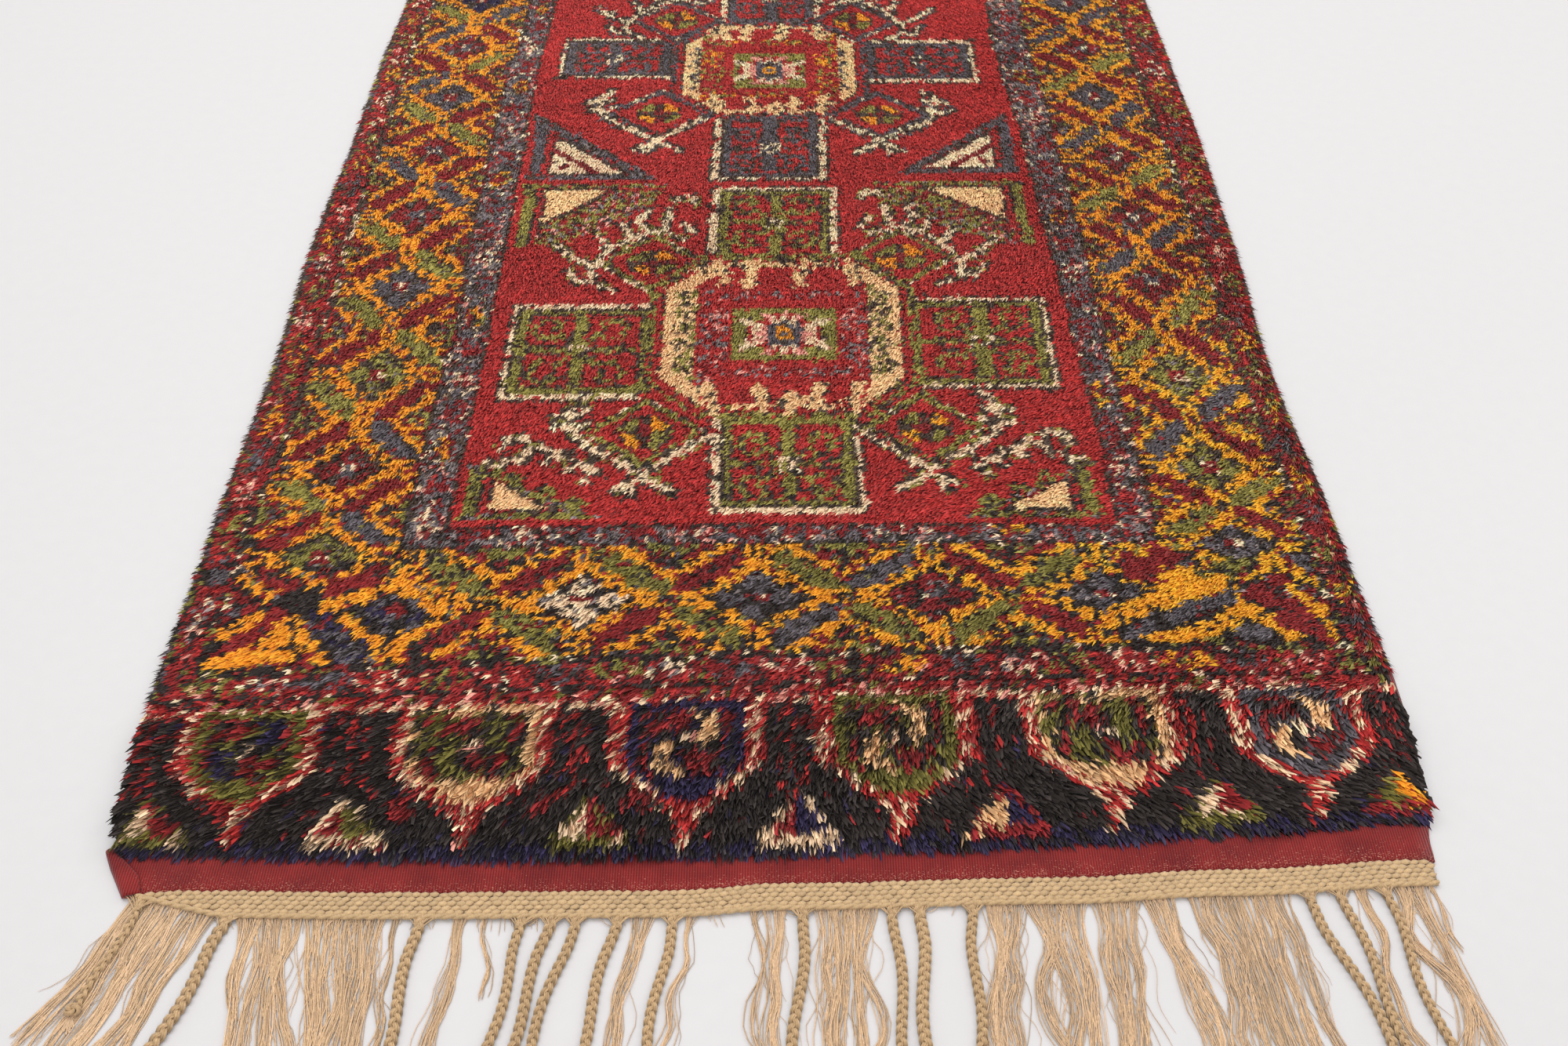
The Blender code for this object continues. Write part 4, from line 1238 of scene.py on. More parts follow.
@dataclass
class Pile:
    """The knotted pile: short leaning knots in the field and long locks in the two end panels.

    The ruled rows are those whose place can be read in the photo. For each, the rulings say how far down the
    rug its left, middle and right lie, in millimetres from the plan's zero.
    """

    cartoon: Cartoon
    fibre: bpy.types.NodeTree
    knots: Array = field(init=False)
    chance: np.random.Generator = field(init=False)
    ruled_rows: tuple = (0.0, 38.0, 46.0, 74.0, 83.0, 148.9)
    rulings: tuple = ((1569.0, 1571.0, 1538.0), (1410.0, 1385.0, 1375.0), (1368.0, 1341.0, 1332.0),
                      (1216.0, 1200.0, 1205.0), (1170.0, 1160.0, 1168.0), (830.0, 830.0, 830.0))
    row_pitch: float = 5.01
    shag_rows: int = 38
    near_tufts: int = 5
    far_tufts: int = 1
    shag_height: float = 0.010
    field_tufts: int = 2
    field_pieces: int = 4
    field_height: float = 0.006
    field_length: float = 0.0140
    field_width: float = 0.0033
    field_lift: float = 0.0056
    tuft_gap: float = 0.0026
    root_height: float = 0.0030
    side_inset: float = 0.0045

    def __post_init__(self) -> None:
        """Draws the knot chart."""
        self.knots = self.cartoon.draw()
        self.chance = np.random.default_rng(5)

    def places(self, row: Array, column: Array) -> tuple[Array, Array]:
        """Returns where the knots of some rows and columns lie, in metres."""
        share = (column + 0.5) / self.cartoon.columns
        bend = share * 2.0 - 1.0
        ruled = [middle + (right - left) / 2 * bend + ((right + left) / 2 - middle) * bend ** 2
                 for left, middle, right in self.rulings]
        down = self.rulings[-1][1] - (row - self.ruled_rows[-1]) * self.row_pitch
        for low, high, first, second in zip(self.ruled_rows, self.ruled_rows[1:], ruled, ruled[1:]):
            here = (row >= low) & (row < high)
            part = (row[here] - low) / (high - low)
            down[here] = first[here] + (second[here] - first[here]) * part
        y = PLAN.photo_zero - down / 1000.0
        left, right = PLAN.left(y), PLAN.right(y)
        x = left + (right - left) * share
        return x - np.sign(bend) * self.side_inset * unit((abs(bend) - 0.95) / 0.05), y

    def seen_nearer(self, y: Array, height: float) -> Array:
        """Returns how far towards the camera what stands that high covers the floor at y."""
        return height * (y - Studio.camera_place[1]) / Studio.camera_place[2]

    def nap(self, x: Array, y: Array) -> Array:
        """Returns which way the pile leans: 0 towards the near end, positive to the right."""
        across = (-0.62, -0.30, 0.0, 0.30, 0.62)
        table = (
            (-1.08, (-0.5, -0.2, 0.2, 0.5, 0.6)),
            (-1.00, (-1.1, -0.5, 0.1, 0.8, 1.1)),
            (-0.93, (-1.2, -0.8, -0.5, 0.2, 0.5)),
            (-0.87, (-0.8, -0.8, -0.8, -0.9, -0.9)),
            (-0.70, (-0.6, -0.5, -0.7, -1.0, -0.95)),
            (-0.45, (-0.4, -0.3, -0.5, -0.8, -0.7)),
            (-0.15, (-0.3, -0.2, -0.2, -0.35, -0.3)),
            (0.20, (-0.1, -0.1, 0.0, 0.1, 0.0)),
        )
        ways = np.array([eased(x, across, values) for _, values in table])
        places = np.array([place for place, _ in table])
        low = np.clip(np.searchsorted(places, y, side="right") - 1, 0, len(places) - 2)
        share = unit((y - places[low]) / (places[low + 1] - places[low]))
        index = np.arange(len(x))
        smooth = ways[low, index] * (1 - share) + ways[low + 1, index] * share
        return smooth + 0.14 * swell(x, y, 0.11, 3) + 0.14 * swell(x, y, 0.034, 4)

    def dyed(self, row: Array, column: Array, x: Array) -> Array:
        """Returns each knot's colour, with the small differences that hand-dyed wool has, and painted light:
        lighter towards the rug's right side and towards its far half.
        """
        wool = self.knots[row.astype(int), column.astype(int)]
        spread = np.array([DYES[one].spread for one in Wool])
        count = len(row)
        light = 1.0 + spread[wool] * self.chance.normal(0.0, 1.0, count)
        light *= 1.0 + 0.07 * swell(x * 0.15, row * 0.02, 0.05, 21) + 0.05 * swell(x, row * 0.005, 0.16, 22)
        # Painted light: the rug's right side is painted lighter.
        light *= 1.0 + 0.13 * unit((x - 0.25) / 0.35)
        # Painted light: the far half is painted lighter, the near rows a little darker.
        light *= 0.96 + 0.14 * unit((row - 160) / 120.0)
        from_end = np.minimum(row, self.cartoon.rows - 1 - row)
        faded = unit((from_end - self.cartoon.outline_row - 28) / 55.0)
        faded = faded > self.chance.random(count) * 0.8
        colour = np.array([DYES[one].colour for one in Wool])[wool]
        colour[faded & (wool == Wool.BLACK)] = FADED_BLACK
        green = wool == Wool.GREEN
        light[green] *= 1.0 - 0.24 * unit((105 - from_end[green]) / 40.0)
        colour = colour * np.clip(light, 0.45, 1.7)[:, None]
        warm = unit(0.5 + x / 1.2) * (wool == Wool.GOLD)
        warm *= unit(1.6 - abs(row - 90.0) / 45.0)
        colour[:, 1] *= 1.0 + 0.26 * warm
        colour[:, 0] *= 1.0 - 0.03 * warm
        return colour

    def outward(self, x: Array, y: Array, way: Array, reach: float,
                turn: float = 1.0) -> Array:
        """Turns the nap outwards close to the two long sides.

        Args:
            x: Each lock's place across.
            y: Its place along.
            way: Which way it leans.
            reach: How far in from the side it is turned.
            turn: How far it is turned at the side itself, in radians.
        """
        left = unit(1.0 - (x - PLAN.left(y)) / reach)
        right = unit(1.0 - (PLAN.right(y) - x) / reach)
        return way * (1 - left) * (1 - right) - turn * left + turn * right

    def grid(self, first_row: int, last_row: int) -> tuple[Array, Array]:
        """Returns the row and the column of every knot from one row up to another."""
        row, column = np.mgrid[first_row:last_row, 0:self.cartoon.columns]
        return row.ravel().astype(float), column.ravel().astype(float)

    def field_piece(self, name: str, first_row: int, last_row: int) -> bpy.types.Object:
        """Makes a stretch of the short pile, from its first row up to the row after its last."""
        chance, tufts = self.chance, self.field_tufts
        row, column = self.grid(first_row, last_row)
        knot_x, knot_y = self.places(row, column)
        knot_y = knot_y - self.seen_nearer(knot_y, self.field_height)
        knot_way = self.outward(knot_x, knot_y, self.nap(knot_x, knot_y), 0.030)
        knot_way += chance.normal(0.0, 0.08, len(row))
        x, y, way = (np.repeat(values, tufts) for values in (knot_x, knot_y, knot_way))
        colour = np.repeat(self.dyed(row, column, knot_x), tufts, axis=0)
        count = len(x)
        aside = np.tile(np.linspace(-0.5, 0.5, tufts) * self.tuft_gap, len(row))
        jitter = chance.normal(0.0, 0.0008, (2, count))
        way = way + chance.normal(0.0, 0.09, count)
        length = self.field_length * chance.uniform(0.78, 1.2, count)
        beyond = unit((y + 0.55) / 1.0)
        lift = self.field_lift * (1.0 + 0.12 * swell(x, y, 0.09, 6) + 0.16 * chance.normal(0.0, 1.0, count))
        lift *= 1.0 - 0.42 * beyond
        from_side = np.minimum(x - PLAN.left(y), PLAN.right(y) - x)
        lift *= np.clip(0.5 + from_side / 0.03, 0.5, 1.0)
        back = length * 0.56
        colour = colour * (1.0 + 0.04 * chance.normal(0.0, 1.0, count))[:, None]
        return self.assemble(name, FIELD_TUFT, Locks(
            x=x - np.sin(way) * back + np.cos(way) * aside + jitter[0],
            y=y + np.cos(way) * back + np.sin(way) * aside + jitter[1],
            root=self.root_height, way=way, length=length,
            width=self.field_width * chance.uniform(0.8, 1.2, count), lift=lift,
            droop=(0.0010 + 0.0008 * beyond) * chance.uniform(0.0, 1.0, count),
            wave=0.0003 * chance.normal(0.0, 1.0, count), phase=chance.uniform(0.0, 6.3, count),
            # Dark wools are painted at 0.58 of their light at the root, as painted shade.
            roll=0.30 * chance.normal(0.0, 1.0, count), colour=colour, painted_root_light=0.58, narrow=0.0,
            ragged=0.8))

    def shag_piece(self, name: str, near: bool, tufts: int) -> bpy.types.Object:
        """Makes one end panel of long locks.

        Args:
            name: The piece's name.
            near: Whether it is the panel at the near end.
            tufts: How many tufts a knot shows.
        """
        chance = self.chance
        in_panel, column = self.grid(0, self.shag_rows)
        row = in_panel if near else self.cartoon.rows - 1 - in_panel
        knot_x, knot_y = self.places(row, column)
        tones = np.array([PANEL_TONES[one] for one in Wool])
        tone = tones[self.knots[row.astype(int), column.astype(int)]]
        knot_colour = self.dyed(row, column, knot_x) * tone[:, None]
        knot_way = self.nap(knot_x, -abs(knot_y)) + chance.normal(0.0, 0.11, len(row))
        if near:
            knot_y = knot_y - self.seen_nearer(knot_y, self.shag_height)
        x, y, depth, way = (np.repeat(values, tufts) for values in (knot_x, knot_y, in_panel, knot_way))
        count = len(x)
        way = self.outward(x, y, way + chance.normal(0.0, 0.13, count), 0.022, 0.5)
        x = x - np.sign(x) * 0.008 * unit(1.0 - (0.60 - abs(x)) / 0.03)
        if not near:
            way = np.pi - way
        inner = unit((self.shag_rows - depth) / 9.0)
        end_rows = unit(1.0 - depth / 3.0)
        length = (0.0145 + 0.010 * inner) * chance.uniform(0.78, 1.22, count)
        length *= 1.0 - 0.10 * end_rows
        lift = 1.0 + 0.35 * swell(x, y, 0.075, 7) + 0.13 * chance.normal(0, 1, count)
        lift = (0.0075 + 0.0070 * inner) * lift
        lift *= 1.0 - 0.45 * end_rows
        droop = (0.002 + 0.004 * inner) * chance.uniform(0.2, 1.0, count) + 0.003 * end_rows
        back = length * 0.42
        colour = np.repeat(knot_colour, tufts, axis=0) * (1.0 + 0.08 * chance.normal(0, 1, count))[:, None]
        if near:
            tint = end_rows * chance.uniform(0.0, 1.0, count)
            colour = colour * (1 - 0.30 * tint)[:, None] + PALE_END * 0.30 * tint[:, None]
        return self.assemble(name, SHAG_TUFT, Locks(
            x=x - np.sin(way) * back + chance.normal(0.0, 0.0013, count),
            y=y + np.cos(way) * back + chance.normal(0.0, 0.0013, count),
            root=self.root_height, way=way, length=length,
            width=(0.0034 + 0.0010 * chance.uniform(0.0, 1.0, count)) * (4.0 / tufts) ** 0.5
            * (1.0 - 0.28 * end_rows), lift=lift, droop=droop, wave=0.0014 * chance.normal(0.0, 1.0, count),
            phase=chance.uniform(0.0, 6.3, count), roll=0.24 * chance.normal(0.0, 1.0, count),
            # Dark wools are painted at 0.34 of their light at the root, as painted shade.
            colour=unit(colour), painted_root_light=0.34, narrow=0.08, ragged=0.7))

    def assemble(self, name: str, outline: tuple, locks: Locks) -> bpy.types.Object:
        """Joins locks of one outline into a piece with its colours, its layout and its finish."""
        points, triangles, colours, uv = locks.lay(LockShape.tufted(outline))
        piece = mesh_piece(name, points + np.array(SHIFT), triangles)
        paint_points(piece, "dye_and_painted_light", unit(colours))
        lay_out(piece, uv)
        cells = math.ceil(math.sqrt(len(locks.x)))
        settle(piece, PileFinish(f"{name}_wool", cells).build(self.fibre))
        return piece

    def build(self) -> list[bpy.types.Object]:
        """Makes every piece of the pile."""
        first, last = self.shag_rows, self.cartoon.rows - self.shag_rows
        step = (last - first) // self.field_pieces
        starts = [first + step * number for number in range(self.field_pieces)]
        pieces = [self.shag_piece("panel_locks_near", True, self.near_tufts)]
        for number, (low, high) in enumerate(zip(starts, starts[1:] + [last])):
            pieces.append(self.field_piece(f"field_knots_{number + 1}", low, high))
        pieces.append(self.shag_piece("panel_locks_far", False, self.far_tufts))
        return pieces


def thicken(piece: bpy.types.Object, bare: Array, thickness: float,
            material: bpy.types.Material) -> None:
    """Finishes a piece of the ground.

    Args:
        piece: The flat piece.
        bare: How bare of knots it is at each point.
        thickness: Its thickness.
        material: The weft-faced weave.
    """
    layer = piece.data.attributes.new("bareness", "FLOAT", "POINT")
    layer.data.foreach_set("value", bare.astype(np.float32))
    piece.data.update()
    for face in piece.data.polygons:
        face.use_smooth = True
    modifier = piece.modifiers.new("Thickness", "SOLIDIFY")
    modifier.thickness, modifier.offset = thickness, 0.0
    piece.select_set(True)
    bpy.context.view_layer.objects.active = piece
    bpy.ops.object.modifier_apply(modifier=modifier.name)
    settle(piece, material)


@dataclass
class GroundWeave:
    """The woven ground under the knots, bare at its two skirts, with its near left corner turned over."""

    columns: int = 66
    pile_rows: int = 66
    skirt_rows: int = 6
    thickness: float = 0.0026
    inset: float = 0.004
    under_pile: float = 0.006
    flap_thickness: float = 0.0022

    def build(self, material: bpy.types.Material) -> tuple[bpy.types.Object, bpy.types.Object]:
        """Makes the ground and its turned corner of the given weave."""
        rows = self.pile_rows + 2 * self.skirt_rows
        deselect_all()
        bpy.ops.mesh.primitive_grid_add(x_subdivisions=self.columns, y_subdivisions=rows, size=2.0)
        ground = bpy.context.object
        ground.name = ground.data.name = "ground_weave"
        mesh = ground.data
        flat = np.empty(len(mesh.vertices) * 3, dtype=np.float32)
        mesh.vertices.foreach_get("co", flat)
        flat = flat.reshape(-1, 3).astype(float)
        share = (flat[:, 0] + 1) / 2
        station = np.round((flat[:, 1] + 1) / 2 * rows)
        guess_x = -0.6 + 1.2 * share
        near_pile, near_end = PLAN.pile_end(guess_x) + self.under_pile, PLAN.skirt_end(guess_x)
        skirt = self.skirt_rows
        y = np.where(station <= skirt, near_end + (near_pile - near_end) * station / skirt, 0.0)
        along = (station - skirt) / self.pile_rows
        y = np.where((station > skirt) & (station <= skirt + self.pile_rows),
                     near_pile + (PLAN.far_pile_end - near_pile) * along, y)
        beyond = (station - skirt - self.pile_rows) / skirt
        y = np.where(station > skirt + self.pile_rows,
                     PLAN.far_pile_end + (PLAN.far_skirt_end - PLAN.far_pile_end) * beyond, y)
        bare = unit(np.maximum(1.0 - station / skirt, beyond))
        inset = np.where((station > skirt - 1) & (station < skirt + self.pile_rows + 1), self.inset, 0.0)
        left, right = PLAN.left(y) + inset, PLAN.right(y) - inset
        x = left + (right - left) * share
        ripple = 0.0010 * swell(x, y, 0.05, 31) + 0.0008 * swell(x, y, 0.018, 32)
        z = self.thickness / 2 + np.clip(ripple, 0.0, None) * (bare > 0)
        placed = np.stack((x, y, z), axis=1) + np.array(SHIFT)
        mesh.vertices.foreach_set("co", placed.astype(np.float32).ravel())
        thicken(ground, bare, self.thickness, material)
        return ground, self.turned_corner(material)

    def turned_corner(self, material: bpy.types.Material) -> bpy.types.Object:
        """Makes the near left corner that lies turned over on the skirt."""
        deselect_all()
        bpy.ops.mesh.primitive_grid_add(x_subdivisions=10, y_subdivisions=14, size=2.0)
        flap = bpy.context.object
        flap.name = flap.data.name = "turned_corner"
        outer = ((0.0, -0.6165, -1.064), (0.4, -0.6078, -1.080), (1.0, -0.5890, -1.109))
        inner = ((0.0, -0.6120, -1.060), (0.55, -0.5800, -1.088), (1.0, -0.5735, -1.1055))
        for vert in flap.data.vertices:
            s, t = (vert.co.x + 1) / 2, 1.0 - (vert.co.y + 1) / 2
            edge = [np.interp(t, [row[0] for row in outer], [row[k] for row in outer]) for k in (1, 2)]
            reach = [np.interp(t, [row[0] for row in inner], [row[k] for row in inner]) for k in (1, 2)]
            x = edge[0] + (reach[0] - edge[0]) * s
            y = edge[1] + (reach[1] - edge[1]) * s
            rise = 1.0 - (1.0 - min(1.0, s * 4.0)) ** 2
            z = self.thickness / 2 + 0.0040 * rise - 0.0012 * s * s + 0.0012 * math.sin(3.0 * s) * (1 - t)
            vert.co = Vector((x, y, z)) + SHIFT
        thicken(flap, np.full(len(flap.data.vertices), 0.1), self.flap_thickness, material)
        return flap


def sweep(paths: Array, radii: Array, sides: int, flatten: float = 1.0) -> tuple:
    """Draws a round strand along each of many paths.

    Args:
        paths: The paths' points, as strand, station and axis.
        radii: The radius at each station.
        sides: How many sides a strand has.
        flatten: How high it is against its width.

    Returns:
        The points, and the faces with four corners.
    """
    count, stations = paths.shape[:2]
    tangent = np.gradient(paths, axis=1)
    tangent /= np.linalg.norm(tangent, axis=2, keepdims=True) + 1e-9
    aside = np.cross(tangent, np.array([0.0, 0.0, 1.0]))
    aside /= np.linalg.norm(aside, axis=2, keepdims=True) + 1e-9
    up = np.cross(aside, tangent)
    angle = np.arange(sides) / sides * 2 * np.pi + np.pi / sides
    ring = (aside[:, :, None, :] * np.cos(angle)[None, None, :, None]
            + up[:, :, None, :] * (flatten * np.sin(angle))[None, None, :, None])
    points = paths[:, :, None, :] + ring * radii[:, :, None, None]
    first = (np.arange(count)[:, None, None] * stations + np.arange(stations - 1)[None, :, None]) * sides
    side = np.arange(sides)[None, None, :]
    after = (side + 1) % sides
    faces = np.stack((first + side, first + after, first + sides + after, first + sides + side), axis=-1)
    return points.reshape(-1, 3), faces.reshape(-1, 4)


@dataclass
class YarnWork:
    """A growing piece made of swept strands and copied stitches, each with its own shade."""

    points: list = field(default_factory=list)
    faces: list = field(default_factory=list)
    shades: list = field(default_factory=list)
    count: int = 0

    def add(self, points: Array, faces: Array, shades: Array) -> None:
        """Adds points, faces with three or four corners, and one colour for all points or for each."""
        if faces.shape[1] == 4:
            faces = np.concatenate((faces[:, :3], faces[:, [0, 2, 3]]))
        self.points.append(points)
        self.faces.append(faces + self.count)
        self.shades.append(np.broadcast_to(shades, points.shape))
        self.count += len(points)

    def strands(self, paths: Array, radii: Array, sides: int, shades: Array, flatten: float = 1.0) -> None:
        """Sweeps strands and adds them.

        Args:
            paths: The points of one path, or of many.
            radii: One radius for all, or one at each point.
            sides: How many sides a strand has.
            shades: One colour for all points, or for each.
            flatten: How high a strand is against its width.
        """
        paths = paths if paths.ndim == 3 else paths[None]
        self.add(*sweep(paths, np.broadcast_to(radii, paths.shape[:2]), sides, flatten), shades)

    def finish(self, name: str, material: bpy.types.Material) -> bpy.types.Object:
        """Makes the piece."""
        piece = mesh_piece(name, np.concatenate(self.points) + np.array(SHIFT), np.concatenate(self.faces))
        paint_points(piece, "dye_and_painted_light", unit(np.concatenate(self.shades)))
        settle(piece, material)
        return piece


BAND_YARN = np.array(linear(200, 169, 127))
FRINGE_YARN = np.array(linear(230, 195, 158))
BRAID_YARN = np.array(linear(193, 161, 121))


@dataclass
class PlaitedBand:
    """The band that the warps are plaited into past a skirt: rows of slanted stitches and a corded edge."""

    near: bool
    rows: int = 5
    depth: float = 0.0222
    pitch: float = 0.0082
    stitch_fill: float = 0.70
    stitch_height: float = 0.0019
    stitch_middle: float = 0.0037
    stitch_turn: float = 0.14
    bar_height: float = 0.0017
    cord: float = 0.0020
    cord_step: float = 0.0024
    cord_lay: float = 0.022
    seed: int = 8
    way: float = field(init=False)
    left: float = field(init=False)
    right: float = field(init=False)
    work: YarnWork = field(default_factory=YarnWork)
    chance: np.random.Generator = field(init=False)

    def __post_init__(self) -> None:
        """Sets which way the band faces and where its ends lie."""
        self.way = -1.0 if self.near else 1.0
        self.left, self.right = (-0.577, 0.5925) if self.near else (-0.598, 0.594)
        self.chance = np.random.default_rng(self.seed)

    def top(self, x: Array) -> Array:
        """Returns the y where the band starts."""
        return PLAN.skirt_end(x) + 0.0015 if self.near else np.full_like(x, PLAN.far_skirt_end)

    def open(self, x: Array) -> Array:
        """Returns how far the band is open at x, from 0 at its pointed end to 1."""
        if not self.near:
            return np.ones_like(x)
        return 0.06 + 0.94 * unit((x + 0.574) / 0.075) ** 0.8

    def build(self, material: bpy.types.Material) -> None:
        """Makes the band of the given warp yarn."""
        self.underlay_in_painted_shade()
        deselect_all()
        bpy.ops.mesh.primitive_ico_sphere_add(subdivisions=1, radius=1.0)
        bump, faces = take_active()
        for row in range(self.rows):
            self.stitches(row, bump / abs(bump).max(), faces)
        self.corded_edge()
        end = "near" if self.near else "far"
        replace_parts(self.work.finish(f"plaited_rows_{end}", material), f"plaited_band_{end}")

    def stitches(self, row: int, bump: Array, bump_faces: Array) -> None:
        """Lays one row of stitches.

        Args:
            row: Its number, counted from the skirt.
            bump: The points of one stitch, from -1 to 1.
            bump_faces: The faces of one stitch.
        """
        chance = self.chance
        number = np.arange(int((self.right - self.left) / self.pitch))
        x = self.left + (number + 0.5 + 0.5 * (row % 2)) * self.pitch
        x = x + chance.normal(0.0, 0.0004, len(number))
        x = x[(self.open(x) * self.rows > row + 0.6) & (x < self.right - 0.002)]
        count, share = len(x), (row + 0.5) / self.rows
        y = self.top(x) + self.way * self.depth * share + chance.normal(0.0, 0.00025, count)
        turn = self.stitch_turn + chance.normal(0.0, 0.08, count)
        cos, sin = np.cos(turn)[:, None], np.sin(turn)[:, None]
        size = chance.uniform(0.94, 1.07, count)[:, None]
        along = bump[None, :, 0] * size * self.pitch * self.stitch_fill
        across = bump[None, :, 1] * size * self.depth / self.rows * self.stitch_fill
        high = self.stitch_middle + bump[None, :, 2] * self.stitch_height * size
        high = high + 0.0006 * (along / (self.pitch * self.stitch_fill))
        points = np.stack((x[:, None] + along * cos - across * sin, y[:, None] + along * sin + across * cos,
                           high), axis=2)
        faces = (bump_faces[None] + (np.arange(count) * len(bump))[:, None, None]).reshape(-1, 3)
        light = (1.0 + 0.05 * chance.normal(0.0, 1.0, count))[:, None, None]
        # Painted shade: each stitch painted darker towards its underside.
        low = np.clip(0.80 + 0.22 * (bump[None, :, 2] + 0.35), 0.6, 1.0)
        self.work.add(points.reshape(-1, 3), faces, (BAND_YARN * light * low[..., None]).reshape(-1, 3))

    def underlay_in_painted_shade(self) -> None:
        """Lays a low bar under the stitches, so that no floor shows between them; it is painted darker as the
        shade in the gaps.
        """
        xs = np.linspace(self.left + 0.001, self.right - 0.001, 120)
        half = self.depth * self.open(xs) * 0.5
        path = np.stack((xs, self.top(xs) + self.way * half, np.full_like(xs, self.bar_height)), axis=1)[None]
        points, faces = sweep(path, np.ones((1, len(xs))), 6)
        rings = points.reshape(len(xs), 6, 3)
        centre = rings.mean(axis=1, keepdims=True)
        size = np.stack((np.zeros_like(xs), half, np.full_like(xs, 0.0016)), axis=1)[:, None, :]
        self.work.add(((rings - centre) * size + centre).reshape(-1, 3), faces, BAND_YARN * 0.74)

    def corded_edge(self) -> None:
        """Lays the twisted cord along the band's lower edge."""
        xs = np.arange(self.left, self.right, self.cord_step)
        base = self.top(xs) + self.way * (self.depth * self.open(xs) + 0.0010)
        for strand in range(2):
            turn = 2 * np.pi * xs / self.cord_lay + np.pi * strand
            path = np.stack((xs, base + self.way * 0.0010 * np.cos(turn), 0.0030 + 0.0009 * np.sin(turn)),
                            axis=1)
            light = np.repeat(1.0 + 0.05 * self.chance.normal(0.0, 1.0, len(xs)), 6)
            self.work.strands(path, self.cord, 6, BAND_YARN * 0.93 * light[:, None])


@dataclass(frozen=True)
class Hank:
    """Neighbouring loose warps of the near fringe, from their roots to where they lie 125 mm further out."""

    strands: int
    root_from: float
    root_to: float
    out_from: float
    out_to: float
    length: float


@dataclass(frozen=True)
class Plait:
    """One plait of the near fringe, from its root to where it lies 125 mm further out."""

    root: float
    out: float
    length: float
    stout: float = 0.92


HANKS = (
    Hank(3, -0.575, -0.568, -0.633, -0.604, 0.160), Plait(-0.570, -0.599, 0.108, 0.74),
    Hank(4, -0.570, -0.548, -0.608, -0.580, 0.165), Hank(7, -0.550, -0.505, -0.586, -0.540, 0.170),
    Plait(-0.4875, -0.5245, 0.176, 1.18), Hank(8, -0.4775, -0.427, -0.468, -0.416, 0.172),
    Hank(10, -0.420, -0.354, -0.406, -0.350, 0.172), Hank(1, -0.341, -0.341, -0.343, -0.343, 0.160),
    Plait(-0.318, -0.330, 0.175, 1.12), Hank(2, -0.287, -0.281, -0.295, -0.289, 0.165),
    Hank(1, -0.263, -0.263, -0.256, -0.256, 0.080), Plait(-0.227, -0.246, 0.172),
    Plait(-0.201, -0.227, 0.176), Plait(-0.180, -0.2095, 0.170), Plait(-0.143, -0.1675, 0.165),
    Hank(2, -0.129, -0.117, -0.145, -0.132, 0.160), Plait(-0.096, -0.111, 0.174),
    Hank(1, -0.080, -0.080, -0.098, -0.098, 0.160), Hank(1, -0.025, -0.025, -0.018, -0.018, 0.170),
    Hank(3, -0.011, 0.001, -0.009, 0.000, 0.168), Plait(0.020, 0.012, 0.176, 1.10),
    Hank(9, 0.034, 0.0865, 0.031, 0.082, 0.172), Plait(0.098, 0.103, 0.170),
    Plait(0.122, 0.1225, 0.175, 1.14), Plait(0.171, 0.165, 0.172), Hank(6, 0.182, 0.213, 0.176, 0.202, 0.170),
    Hank(7, 0.2215, 0.2655, 0.230, 0.272, 0.172), Hank(6, 0.2775, 0.3175, 0.281, 0.3065, 0.168),
    Hank(4, 0.3255, 0.347, 0.348, 0.368, 0.165), Hank(13, 0.3665, 0.451, 0.385, 0.462, 0.172),
    Plait(0.470, 0.504, 0.176), Plait(0.499, 0.519, 0.172), Hank(2, 0.516, 0.522, 0.530, 0.536, 0.165),
    Plait(0.540, 0.554, 0.175), Hank(5, 0.552, 0.576, 0.568, 0.594, 0.172),
    Hank(1, 0.5835, 0.5835, 0.606, 0.606, 0.070),
)


